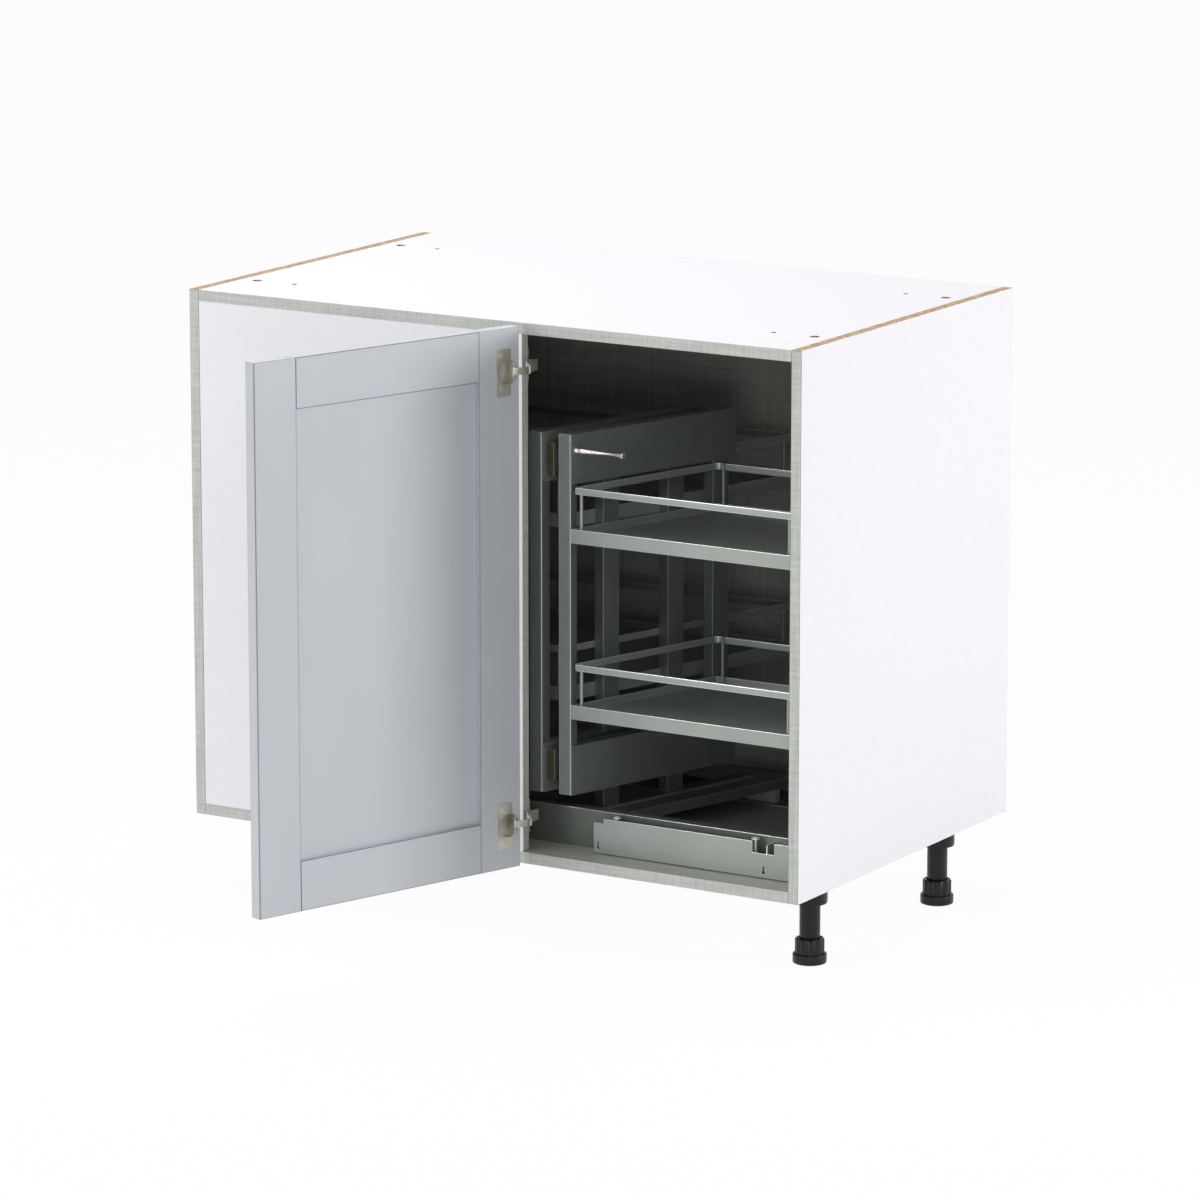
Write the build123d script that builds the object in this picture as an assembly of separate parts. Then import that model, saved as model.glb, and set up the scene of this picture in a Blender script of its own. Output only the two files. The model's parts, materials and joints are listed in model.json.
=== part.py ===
from build123d import *
from math import atan2, cos, hypot, radians, sin
import os

# Blind corner base cabinet with a two-part pull-out corner fitting, in millimetres.
# The pieces are drawn in cabinet coordinates: x runs right from the left side panel, y runs back
# from the front edge of the carcass and z runs up from its underside. At the end they are moved so
# that the origin is the middle of the footprint box, on the floor.

# Carcass
CABINET_WIDTH = 990.6
CABINET_DEPTH = 609.6
CABINET_HEIGHT = 762.0
BOARD = 15.9
DOORWAY_WIDTH = 422.7

# Carcass joints: cam locks with their bolts, dowels, and the holes for fixing the worktop
CAM_ROW_FRONT = 109.6
CAM_ROW_BACK = 125.0
CAM_FROM_JOINT = 25.4
CAM_RADIUS = 7.4
CAM_DEPTH = 12.5
CAM_SLOT_WIDTH = 1.8
CAM_SLOT_LENGTH = 9.0
CAM_SIDES = 8
BOLT_RADIUS = 3.0
BOLT_SCREWED_LENGTH = 10.0
BOLT_STOP_SHORT = 3.0
DOWEL_RADIUS = 4.0
DOWEL_IN_SIDE = 12.0
DOWEL_IN_SHELF = 18.0
DOWEL_STEP = 32.0
WORKTOP_HOLE_RADIUS = 4.0
WORKTOP_HOLE_FROM_SIDE = 105.0
PILOT_RADIUS = 1.5
PILOT_FROM_SIDE = 48.0
PILOT_FROM_FRONT = 50.7
PILOT_FROM_BACK = 68.5
SMALL_SIDES = 8
FIT = 0.05

# Legs
LEG_HEIGHT = 114.3
LEG_SIDES = 16
LEG_FROM_SIDE = 46.6
LEG_FROM_FRONT = 117.0
LEG_FROM_BACK = 121.0
SOCKET_FLANGE_RADIUS = 24.5
SOCKET_FLANGE_HEIGHT = 29.0
SOCKET_TUBE_RADIUS = 14.6
SOCKET_BORE_RADIUS = 9.0
SOCKET_BORE_HEIGHT = 45.0
PEG_RADIUS = 5.0
PEG_LENGTH = 11.0
PEG_INSET = 12.0
FOOT_BASE_RADIUS = 24.0
FOOT_BASE_HEIGHT = 13.5
FOOT_COLLAR_RADIUS = 20.7
FOOT_COLLAR_SIDES = 10
FOOT_COLLAR_HEIGHT = 22.0
FOOT_RECESS_RADIUS = 15.8
FOOT_RECESS_DEPTH = 3.0
FOOT_STEM_RADIUS = 8.92
FOOT_STEM_LENGTH = 40.0
FOOT_COLLAR_BREAK = 1.5

# Door: a five-piece frame and panel door, hung on the blind panel
DOOR_WIDTH = 450.85
DOOR_THICKNESS = 19.05
DOOR_BOTTOM = 3.6
DOOR_TOP_GAP = 0.4
DOOR_GAP = 2.0
DOOR_OVERLAP = 13.8
STILE_WIDTH = 70.0
RAIL_HEIGHT = 70.0
PANEL_THICKNESS = 6.35
GROOVE_DEPTH = 10.0
GROOVE_CLEARANCE = 0.3
EDGE_BREAK = 0.8

# Hinges: the door turns on a pin in its cup, and the link turns on a pin in the fixed arm
DOOR_OPEN_ANGLE = 108.9
LINK_SWING = 78.8
HINGE_FROM_DOOR_END = 61.0
CUP_FROM_EDGE = 21.0
CUP_RADIUS = 17.4
CUP_SIDES = 24
CUP_WALL = 0.8
CUP_DEPTH = 12.7
CUP_RIM_RADIUS = 18.2
CUP_PLATE_THICKNESS = 1.0
CUP_PLATE_NEAR = 15.0
CUP_PLATE_WIDTH = 25.0
CUP_PLATE_HEIGHT = 66.0
CUP_PLATE_BREAK = 2.0
CUP_SCREW_OFFSET = 9.5
CUP_SCREW_SPACING = 45.0
CUP_PIN_SETBACK = 8.68
CUP_PIN_DEPTH = 1.54
CUP_PIN_HALF_LENGTH = 10.5
CUP_SEAT_FROM_MIDDLE = 8.0
CUP_SEAT_HALF_WIDTH = 2.5
ARM_PIN_FROM_BLIND = 19.39
ARM_PIN_PROUD = 11.0
ARM_PIN_HALF_LENGTH = 5.4
HINGE_PIN_RADIUS = 1.0
KNUCKLE_RADIUS = 1.9
KNUCKLE_SIDES = 12
LINK_THICKNESS = 1.5
LINK_HALF_HEIGHT = 5.0
LINK_ARCH = 4.0
LINK_NOSE_HALF_HEIGHT = 3.0
ARM_THICKNESS = 2.0
ARM_NOSE_HALF_HEIGHT = 5.4
ARM_HALF_HEIGHT = 8.0
ARM_FROM_BLIND = 6.0
ARM_BACK_Y = 30.0
NOSE_CLEARANCE = 0.25
BRACKET_WIDTH = 38.0
BRACKET_HEIGHT = 48.0
BRACKET_BREAK = 3.0
BRACKET_SCREW_FROM_EDGE = 23.0
BRACKET_SCREW_SPACING = 32.0
SCREW_RADIUS = 1.6
SCREW_HEAD_RADIUS = 3.4
SCREW_HEAD_HEIGHT = 1.6
SCREW_LENGTH = 11.0

# Corner fitting, fixed base: folded steel sheet on the floor of the cabinet
SHEET = 1.5
RAIL_END_GAP = 10.0
CHANNEL_FRONT_Y = 66.0
CHANNEL_HEIGHT = 55.6
CHANNEL_FLOOR_FLANGE = 52.0
CHANNEL_TOP_FLANGE = 18.0
CHANNEL_LIP = 8.0
REAR_RAIL_FROM_BACK = 147.6
REAR_RAIL_FLANGE = 52.0
REAR_RAIL_HEIGHT = 12.0
COVER_FRONT_Y = 44.0
COVER_FROM_BLIND = 88.0
COVER_FROM_SIDE = 12.7
COVER_HEIGHT = 51.5
COVER_STEP_WIDTH = 16.0
COVER_STEP_DROP = 7.0
COVER_CORNER_RADIUS = 5.0
NOTCH_INSET = 253.5
NOTCH_WIDTH = 34.5
NOTCH_DEPTH = 16.0
KEYHOLE_INSETS = (7.0, 271.0)
KEYHOLE_RISE = 9.0
KEYHOLE_RADIUS = 2.6
KEYHOLE_SLOT = 2.4
KEYHOLE_LENGTH = 9.0
GUSSET_INSET = 275.0
STUD_INSETS = (30.0, 253.0)
STUD_RADIUS = 2.5
STUD_HEAD_RADIUS = 5.0
STUD_HEAD_HEIGHT = 3.0
STUD_HEIGHT = 52.6
STUD_SIDES = 12

FLOOR_SCREW_FROM_END = 40.0
FLOOR_SCREW_INSET = 30.0

# Slanting runners: both frames and the slides between them lie along this line in plan.
# "Along" is measured from its front point and "across" from its middle, positive to the left.
RUN_ANGLE = 73.0
RUN_FROM_BLIND = 21.0
RUN_Y = 40.0
SLIDE_LENGTH = 300.0
SLIDE_START = 5.0
SLIDE_HALF_THICKNESS = 6.35
SLIDE_WALL = 1.2
SLIDE_HEIGHTS = (134.5, 567.5)
OUTER_HALF_HEIGHT = 22.75
OUTER_REACH = 8.35
OUTER_LIP = 3.35
MIDDLE_INSET = 2.2
MIDDLE_HALF_HEIGHT = 18.9
MIDDLE_REACH = 8.05
MIDDLE_LIP = 2.0
INNER_HALF_HEIGHT = 16.3
INNER_REACH = 7.85
INNER_LIP = 2.4
BUFFER_THICKNESS = 4.0
BUFFER_GAP = 0.5
BUFFER_HALF_HEIGHT = 22.0
BUFFER_BREAK = 1.5
PAD_HALF = 7.0
PAD_PLACES = (60.0, 250.0)
BRACKET_LENGTH = 24.0

# Upright frames
FRAME_BOTTOM = 95.0
FRAME_TOP = 605.0
BAND_HEIGHT = 70.0
BAND_DEPTH = 20.35
FRAME_REACH = 310.0
CREASE_FROM_EDGE = 10.0
CREASE_DEPTH = 0.5
CREASE_WIDTH = 1.2
REAR_FACE_ACROSS = 9.65
FRONT_FACE_ACROSS = -12.15
POST_WIDTH = 19.7
POST_DEPTH = 17.0
POST_BREAK = 0.8
REAR_POST_Y = 37.0
REAR_POST_WIDTH = 20.5
REAR_POST_DEPTH = 22.0
UPRIGHT_LENGTH = 30.0
UPRIGHT_ALONG = 277.0
CARRIAGE_POST_PLACES = (108.0, 230.0)

# Carriage of the rear unit, with its glides
CARRIAGE_RIGHT_ACROSS = -38.0
CARRIAGE_LEFT_ACROSS = 32.0
CARRIAGE_FRONT_Y = 97.0
CARRIAGE_FROM_BACK = 177.6
CARRIAGE_BOTTOM = 40.0
CARRIAGE_HEIGHT = 15.0
RIDGE_WIDTH = 6.0
RIDGE_HEIGHT = 3.0
RIDGE_SETBACK = 14.0
GLIDE_LENGTH = 50.0
GLIDE_DEPTH = 13.0
GLIDE_GAP = 0.3

# Trays with their flat-bar railings
TRAY_RIM = 20.0
TRAY_SINK = 10.0
TRAY_SHEET = 1.2
TRAY_WALL = 1.5
TRAY_BREAK = 0.4
FRONT_TRAY_TOPS = (224.0, 473.0)
FRONT_TRAY_FRONT_Y = 40.0
FRONT_TRAY_BACK_Y = 303.0
FRONT_TRAY_FROM_SIDE = 12.7
REAR_TRAY_TOPS = (232.0, 479.0)
REAR_TRAY_FRONT_Y = 100.0
REAR_TRAY_FROM_BACK = 89.6
REAR_TRAY_FROM_SIDE = 29.1
RAILING_RISE = 58.4
RAILING_HEIGHT = 9.5
RAILING_THICKNESS = 3.0
RAILING_INSET = 1.0
RAILING_CORNER = 6.0
RAILING_PIN_RADIUS = 4.0
RAILING_PIN_SIDES = 12
RAILING_PIN_INSET = 6.0
RAILING_PIN_FROM_CORNER = 14.0

# Handle rod on the front post
HANDLE_Z = 582.0
HANDLE_LENGTH = 80.0
HANDLE_SIDES = 8
HANDLE_NECK_RADIUS = 2.6
HANDLE_BULB_RADIUS = 3.4
HANDLE_BULB_AT = 6.5
HANDLE_BULB_HALF = 2.0
HANDLE_HOLE_RADIUS = 4.0
HANDLE_COLLAR_RADIUS = 3.8
HANDLE_COLLAR_AT = 9.5
HANDLE_COLLAR_LENGTH = 7.0
HANDLE_WAIST_RADIUS = 1.4
HANDLE_WAIST_AT = 57.0
HANDLE_END_RADIUS = 4.2
HANDLE_END_LENGTH = 1.6

nodes = {}


def keep(name, solids):
    """Store one node, from one shape or from a list of separate solids."""
    nodes[name] = Compound(list(solids)) if isinstance(solids, (list, tuple)) else solids


def block(x0, x1, y0, y1, z0, z1):
    """Box between two corners."""
    corner = (Align.MIN, Align.MIN, Align.MIN)
    return Pos(x0, y0, z0) * Box(x1 - x0, y1 - y0, z1 - z0, align=corner)


def post_up(x, y, z, radius, height):
    """Upright cylinder standing on z."""
    return Pos(x, y, z) * Cylinder(radius, height, align=(Align.CENTER, Align.CENTER, Align.MIN))


def stick(radius, length, sides=SMALL_SIDES):
    """Small round part or hole, drawn with flats, that rises from the origin."""
    return extrude(RegularPolygon(radius, sides), amount=length, dir=(0, 0, 1))


def stick_up(x, y, z, radius, height, sides=SMALL_SIDES):
    return Pos(x, y, z) * stick(radius, height, sides)


def stick_right(x, y, z, radius, length, sides=SMALL_SIDES):
    return Pos(x, y, z) * Rot(0, 90, 0) * stick(radius, length, sides)


def stick_back(x, y, z, radius, length, sides=SMALL_SIDES):
    return Pos(x, y, z) * Rot(-90, 0, 0) * stick(radius, length, sides)


def prism(outline, z0, z1):
    """Upright prism on a plan outline."""
    return Pos(0, 0, z0) * extrude(outline, amount=z1 - z0, dir=(0, 0, 1))


def ribbon(points, width):
    """Plan outline of a strip of even width along a polyline, mitred at its bends."""
    left = []
    right = []
    for index, (x, y) in enumerate(points):
        before = points[max(index - 1, 0)]
        after = points[min(index + 1, len(points) - 1)]
        turn_in = atan2(y - before[1], x - before[0]) if index else atan2(after[1] - y, after[0] - x)
        turn_out = atan2(after[1] - y, after[0] - x) if index < len(points) - 1 else turn_in
        middle = (turn_in + turn_out) / 2
        reach = width / 2 / cos((turn_out - turn_in) / 2)
        left.append((x - reach * sin(middle), y + reach * cos(middle)))
        right.append((x + reach * sin(middle), y - reach * cos(middle)))
    return Polygon(*left, *reversed(right), align=None)


def turned(point, centre, angle):
    """A plan point turned about another, anticlockwise in degrees."""
    dx = point[0] - centre[0]
    dy = point[1] - centre[1]
    c = cos(radians(angle))
    s = sin(radians(angle))
    return (centre[0] + c * dx - s * dy, centre[1] + s * dx + c * dy)


# Places that several pieces share
cam_rows = (CAM_ROW_FRONT, CABINET_DEPTH - CAM_ROW_BACK)
dowel_rows = (cam_rows[0] + DOWEL_STEP, cam_rows[1] - DOWEL_STEP)
shelf_middles = (BOARD / 2, CABINET_HEIGHT - BOARD / 2)
inner_left = BOARD
inner_right = CABINET_WIDTH - BOARD
inner_top = CABINET_HEIGHT - BOARD
blind_edge_x = inner_right - DOORWAY_WIDTH
cover_left_x = blind_edge_x + COVER_FROM_BLIND
rear_rail_back_y = CABINET_DEPTH - REAR_RAIL_FROM_BACK
carriage_back_y = CABINET_DEPTH - CARRIAGE_FROM_BACK
leg_places = {
    "front_left": (LEG_FROM_SIDE, LEG_FROM_FRONT),
    "front_right": (CABINET_WIDTH - LEG_FROM_SIDE, LEG_FROM_FRONT),
    "back_left": (LEG_FROM_SIDE, CABINET_DEPTH - LEG_FROM_BACK),
    "back_right": (CABINET_WIDTH - LEG_FROM_SIDE, CABINET_DEPTH - LEG_FROM_BACK),
}

door_edge_x = blind_edge_x - DOOR_OVERLAP
door_back_y = -DOOR_GAP
door_top_z = CABINET_HEIGHT - DOOR_TOP_GAP
hinge_heights = (DOOR_BOTTOM + HINGE_FROM_DOOR_END, door_top_z - HINGE_FROM_DOOR_END)
arm_pin = (blind_edge_x + ARM_PIN_FROM_BLIND, -ARM_PIN_PROUD)
cup_pin_shut = (door_edge_x + CUP_PIN_SETBACK, door_back_y - CUP_PIN_DEPTH)
cup_pin_open = turned(cup_pin_shut, arm_pin, LINK_SWING)
door_open = (
    Pos(cup_pin_open[0], cup_pin_open[1], 0)
    * Rot(0, 0, -DOOR_OPEN_ANGLE)
    * Pos(-cup_pin_shut[0], -cup_pin_shut[1], 0)
)


def opened(point):
    """Where a plan point of the shut door lies when the door stands open."""
    swung = turned(point, cup_pin_shut, -DOOR_OPEN_ANGLE)
    return (swung[0] + cup_pin_open[0] - cup_pin_shut[0], swung[1] + cup_pin_open[1] - cup_pin_shut[1])


run_origin_x = blind_edge_x + RUN_FROM_BLIND
run = Pos(run_origin_x, RUN_Y, 0) * Rot(0, 0, RUN_ANGLE)
front_face = FRONT_FACE_ACROSS - BAND_DEPTH
upper_band_z = FRAME_TOP - BAND_HEIGHT
upper_crease_z = upper_band_z + CREASE_FROM_EDGE
lower_crease_z = FRAME_BOTTOM + BAND_HEIGHT - CREASE_FROM_EDGE


def run_along(across, y):
    """How far along the run the line at this distance across meets a depth y."""
    return (y - RUN_Y - across * cos(radians(RUN_ANGLE))) / sin(radians(RUN_ANGLE))


def run_x(across, y):
    """The x at which the line at this distance across meets a depth y."""
    return run_origin_x + run_along(across, y) * cos(radians(RUN_ANGLE)) - across * sin(radians(RUN_ANGLE))


def side_panel(inner_x, direction):
    """Side panel with blind holes for the bolts and dowels; direction points into the board."""
    outer_x = inner_x + direction * BOARD
    panel = block(min(inner_x, outer_x), max(inner_x, outer_x), 0, CABINET_DEPTH, 0, CABINET_HEIGHT)
    for z in shelf_middles:
        for y in cam_rows:
            start = min(inner_x, inner_x + direction * (BOLT_SCREWED_LENGTH + FIT))
            panel -= stick_right(start, y, z, BOLT_RADIUS + FIT, BOLT_SCREWED_LENGTH + FIT)
        for y in dowel_rows:
            start = min(inner_x, inner_x + direction * (DOWEL_IN_SIDE + FIT))
            panel -= stick_right(start, y, z, DOWEL_RADIUS + FIT, DOWEL_IN_SIDE + FIT)
    return panel


def shelf_panel(z0, cam_face_up):
    """Top or bottom panel: cam pockets in one face, bolt and dowel holes in both ends."""
    panel = block(inner_left, inner_right, 0, CABINET_DEPTH, z0, z0 + BOARD)
    middle = z0 + BOARD / 2
    pocket_z = z0 + BOARD - CAM_DEPTH if cam_face_up else z0
    bolt_hole = CAM_FROM_JOINT
    for end_x, direction in ((inner_left, 1), (inner_right, -1)):
        cam_x = end_x + direction * CAM_FROM_JOINT
        for y in cam_rows:
            panel -= stick_up(cam_x, y, pocket_z, CAM_RADIUS + FIT, CAM_DEPTH, CAM_SIDES)
            start = min(end_x, end_x + direction * bolt_hole)
            panel -= stick_right(start, y, middle, BOLT_RADIUS + FIT, bolt_hole)
        for y in dowel_rows:
            depth = DOWEL_IN_SHELF + FIT
            start = min(end_x, end_x + direction * depth)
            panel -= stick_right(start, y, middle, DOWEL_RADIUS + FIT, depth)
    return panel


def top_panel():
    panel = shelf_panel(inner_top, True)
    for x in (WORKTOP_HOLE_FROM_SIDE, CABINET_WIDTH - WORKTOP_HOLE_FROM_SIDE):
        for y in cam_rows:
            panel -= post_up(x, y, inner_top, WORKTOP_HOLE_RADIUS, BOARD)
    for x in (PILOT_FROM_SIDE, CABINET_WIDTH - PILOT_FROM_SIDE):
        for y in (PILOT_FROM_FRONT, CABINET_DEPTH - PILOT_FROM_BACK):
            panel -= stick_up(x, y, inner_top, PILOT_RADIUS, BOARD)
    return panel


def bottom_panel():
    panel = shelf_panel(0, False)
    for place in leg_places.values():
        for x, y in peg_places(place):
            panel -= stick_up(x, y, 0, PEG_RADIUS + FIT, PEG_LENGTH + FIT)
    for x, y in floor_screw_places():
        panel -= stick_up(x, y, BOARD - SCREW_LENGTH, SCREW_RADIUS, SCREW_LENGTH)
    return panel


def blind_panel():
    """Fixed front panel over the blind side, with pilot holes for the hinge brackets."""
    panel = block(inner_left, blind_edge_x, 0, BOARD, BOARD, inner_top)
    for x, z in bracket_screw_places():
        panel -= stick_back(x, BOARD - SCREW_LENGTH, z, SCREW_RADIUS, SCREW_LENGTH)
    return panel


def bracket_screw_places():
    """Plan x and height of each screw that holds a hinge bracket."""
    x = blind_edge_x - BRACKET_SCREW_FROM_EDGE
    return [(x, z + side * BRACKET_SCREW_SPACING / 2) for z in hinge_heights for side in (-1, 1)]


def cam_lock(x, y, z, slot_up):
    """Round cam with a cross slot; the bolt's head enters through the hole in its side."""
    cam = stick_up(x, y, z, CAM_RADIUS, CAM_DEPTH - FIT, CAM_SIDES)
    slot_z = z + CAM_DEPTH - FIT - CAM_SLOT_WIDTH if slot_up else z
    half_length = CAM_SLOT_LENGTH / 2
    half_width = CAM_SLOT_WIDTH / 2
    slot_top = slot_z + CAM_SLOT_WIDTH
    cam -= block(x - half_length, x + half_length, y - half_width, y + half_width, slot_z, slot_top)
    cam -= block(x - half_width, x + half_width, y - half_length, y + half_length, slot_z, slot_top)
    return cam


def cam_locks():
    cams = []
    for end_x, direction in ((inner_left, 1), (inner_right, -1)):
        x = end_x + direction * CAM_FROM_JOINT
        for y in cam_rows:
            for z, slot_up in ((FIT, False), (CABINET_HEIGHT - CAM_DEPTH, True)):
                middle = shelf_middles[1] if slot_up else shelf_middles[0]
                reach = CAM_RADIUS - BOLT_STOP_SHORT
                cam = cam_lock(x, y, z, slot_up)
                start = x - CAM_RADIUS if direction > 0 else x + BOLT_STOP_SHORT
                cam -= stick_right(start, y, middle, BOLT_RADIUS + FIT, reach)
                cams.append(cam)
    return cams


def cam_bolts():
    bolts = []
    length = BOLT_SCREWED_LENGTH + CAM_FROM_JOINT - BOLT_STOP_SHORT
    for x in (inner_left - BOLT_SCREWED_LENGTH, inner_right + BOLT_SCREWED_LENGTH - length):
        for y in cam_rows:
            for z in shelf_middles:
                bolts.append(stick_right(x, y, z, BOLT_RADIUS, length))
    return bolts


def joint_dowels():
    dowels = []
    length = DOWEL_IN_SIDE + DOWEL_IN_SHELF
    for x in (inner_left - DOWEL_IN_SIDE, inner_right - DOWEL_IN_SHELF):
        for y in dowel_rows:
            for z in shelf_middles:
                dowels.append(stick_right(x, y, z, DOWEL_RADIUS, length))
    return dowels


def peg_places(leg_place):
    """The two pegs of a leg, on the side away from the cam locks."""
    x, y = leg_place
    inward = PEG_INSET if x < CABINET_WIDTH / 2 else -PEG_INSET
    return [(x + inward, y - PEG_INSET), (x + inward, y + PEG_INSET)]


def leg_socket(x, y):
    """Fixed half of a leg: pegs and flange at the board, and a tube with the bore for the foot's stem."""
    tube_bottom = -LEG_HEIGHT + FOOT_BASE_HEIGHT + FOOT_COLLAR_HEIGHT - FOOT_RECESS_DEPTH
    socket = stick_up(x, y, -SOCKET_FLANGE_HEIGHT, SOCKET_FLANGE_RADIUS, SOCKET_FLANGE_HEIGHT, LEG_SIDES)
    socket += stick_up(x, y, tube_bottom, SOCKET_TUBE_RADIUS, -tube_bottom, LEG_SIDES)
    for peg_x, peg_y in peg_places((x, y)):
        socket += stick_up(peg_x, peg_y, 0, PEG_RADIUS, PEG_LENGTH)
    return socket - stick_up(x, y, tube_bottom, SOCKET_BORE_RADIUS, SOCKET_BORE_HEIGHT)


def leg_foot(x, y):
    """Screw-in foot: round base, many-sided collar that is turned by hand, and the stem."""
    collar_z = -LEG_HEIGHT + FOOT_BASE_HEIGHT
    collar = stick_up(x, y, collar_z, FOOT_COLLAR_RADIUS, FOOT_COLLAR_HEIGHT, FOOT_COLLAR_SIDES)
    collar = chamfer(collar.edges().group_by(Axis.Z)[-1], FOOT_COLLAR_BREAK)
    recess_z = collar_z + FOOT_COLLAR_HEIGHT - FOOT_RECESS_DEPTH
    collar -= stick_up(x, y, recess_z, FOOT_RECESS_RADIUS, FOOT_RECESS_DEPTH, LEG_SIDES)
    foot = collar + stick_up(x, y, recess_z, FOOT_STEM_RADIUS, FOOT_STEM_LENGTH)
    return foot + stick_up(x, y, -LEG_HEIGHT, FOOT_BASE_RADIUS, FOOT_BASE_HEIGHT, LEG_SIDES)


# The door's pieces are drawn shut and then swung open
door_right_x = door_edge_x + DOOR_WIDTH
door_front_y = door_back_y - DOOR_THICKNESS
panel_front_y = door_back_y - (DOOR_THICKNESS + PANEL_THICKNESS) / 2
panel_back_y = door_back_y - (DOOR_THICKNESS - PANEL_THICKNESS) / 2
cup_x = door_edge_x + CUP_FROM_EDGE
cup_screw_x = cup_x + CUP_SCREW_OFFSET


def softened(board, axis):
    """Break the long edges of a door board."""
    return chamfer(board.edges().filter_by(axis), EDGE_BREAK)


def door_stile(x0, groove_right):
    stile = softened(block(x0, x0 + STILE_WIDTH, door_front_y, door_back_y, DOOR_BOTTOM, door_top_z), Axis.Z)
    groove_x = x0 + STILE_WIDTH - GROOVE_DEPTH if groove_right else x0
    return stile - block(
        groove_x, groove_x + GROOVE_DEPTH, panel_front_y, panel_back_y, DOOR_BOTTOM, door_top_z
    )


def hinge_stile():
    stile = door_stile(door_edge_x, True)
    for z in hinge_heights:
        stile -= stick_back(cup_x, door_back_y - CUP_DEPTH, z, CUP_RADIUS, CUP_DEPTH, CUP_SIDES)
        for side in (-1, 1):
            screw_z = z + side * CUP_SCREW_SPACING / 2
            stile -= stick_back(cup_screw_x, door_back_y - SCREW_LENGTH, screw_z, SCREW_RADIUS, SCREW_LENGTH)
    return stile


def door_rail(z0, groove_up):
    """Cross rail with a tongue at each end that fills the stiles' grooves."""
    left = door_edge_x + STILE_WIDTH
    right = door_right_x - STILE_WIDTH
    rail = softened(block(left, right, door_front_y, door_back_y, z0, z0 + RAIL_HEIGHT), Axis.X)
    rail += block(
        left - GROOVE_DEPTH, right + GROOVE_DEPTH, panel_front_y, panel_back_y, z0, z0 + RAIL_HEIGHT
    )
    groove_z = z0 + RAIL_HEIGHT - GROOVE_DEPTH if groove_up else z0
    return rail - block(
        left - GROOVE_DEPTH, right + GROOVE_DEPTH, panel_front_y, panel_back_y, groove_z, groove_z + GROOVE_DEPTH
    )


def centre_panel():
    side = STILE_WIDTH - GROOVE_DEPTH + GROOVE_CLEARANCE
    end = RAIL_HEIGHT - GROOVE_DEPTH + GROOVE_CLEARANCE
    return block(
        door_edge_x + side, door_right_x - side, panel_front_y, panel_back_y, DOOR_BOTTOM + end, door_top_z - end
    )


def hinge_cup(z):
    """Pressed cup with its rim, and the fixing plate on the back of the door."""
    plate_x = door_edge_x + CUP_PLATE_NEAR
    plate_back = door_back_y + CUP_PLATE_THICKNESS
    half = CUP_PLATE_HEIGHT / 2
    cup = block(plate_x, plate_x + CUP_PLATE_WIDTH, door_back_y, plate_back, z - half, z + half)
    cup = chamfer(cup.edges().filter_by(Axis.Y), CUP_PLATE_BREAK)
    cup += stick_back(cup_x, door_back_y, z, CUP_RIM_RADIUS, CUP_PLATE_THICKNESS, CUP_SIDES)
    cup += stick_back(cup_x, door_back_y - CUP_DEPTH, z, CUP_RADIUS, CUP_DEPTH, CUP_SIDES)
    bowl_y = door_back_y - CUP_DEPTH + CUP_WALL
    bowl_depth = CUP_DEPTH - CUP_WALL + CUP_PLATE_THICKNESS
    cup -= stick_back(cup_x, bowl_y, z, CUP_RADIUS - CUP_WALL, bowl_depth, CUP_SIDES)
    for side in (-1, 1):
        screw_z = z + side * CUP_SCREW_SPACING / 2
        cup -= stick_back(cup_screw_x, door_back_y, screw_z, SCREW_RADIUS + FIT, CUP_PLATE_THICKNESS)
    cup += pin_lugs(z)
    pin_x, pin_y = cup_pin_shut
    return cup - post_up(pin_x, pin_y, z - CUP_PIN_HALF_LENGTH, HINGE_PIN_RADIUS, 2 * CUP_PIN_HALF_LENGTH)


def pin_lugs(z):
    """Two lugs inside a cup, above and below the link, that hold the ends of its pin."""
    pin_x, pin_y = cup_pin_shut
    half = CUP_SEAT_HALF_WIDTH
    lugs = block(pin_x - half, pin_x + half, pin_y - half, door_back_y, z - CUP_RADIUS, z + CUP_RADIUS)
    lugs &= stick_back(cup_x, door_back_y - CUP_DEPTH, z, CUP_RADIUS, CUP_DEPTH, CUP_SIDES)
    low = z - CUP_SEAT_FROM_MIDDLE
    high = z + CUP_SEAT_FROM_MIDDLE
    return lugs - block(pin_x - half, pin_x + half, pin_y - half, door_back_y, low, high)


def cup_screws():
    screws = []
    plate_back = door_back_y + CUP_PLATE_THICKNESS
    for z in hinge_heights:
        for side in (-1, 1):
            screw_z = z + side * CUP_SCREW_SPACING / 2
            shank_length = SCREW_LENGTH - FIT + CUP_PLATE_THICKNESS
            shank = stick_back(cup_screw_x, plate_back - shank_length, screw_z, SCREW_RADIUS - FIT, shank_length)
            head = stick_back(cup_screw_x, plate_back, screw_z, SCREW_HEAD_RADIUS, SCREW_HEAD_HEIGHT)
            screws.append(door_open * (shank + head))
    return screws


def bracket_screws():
    screws = []
    plate_back = BOARD + ARM_THICKNESS
    for x, z in bracket_screw_places():
        shank_length = SCREW_LENGTH - FIT + ARM_THICKNESS
        shank = stick_back(x, plate_back - shank_length, z, SCREW_RADIUS - FIT, shank_length)
        screws.append(shank + stick_back(x, plate_back, z, SCREW_HEAD_RADIUS, SCREW_HEAD_HEIGHT))
    return screws


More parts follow.
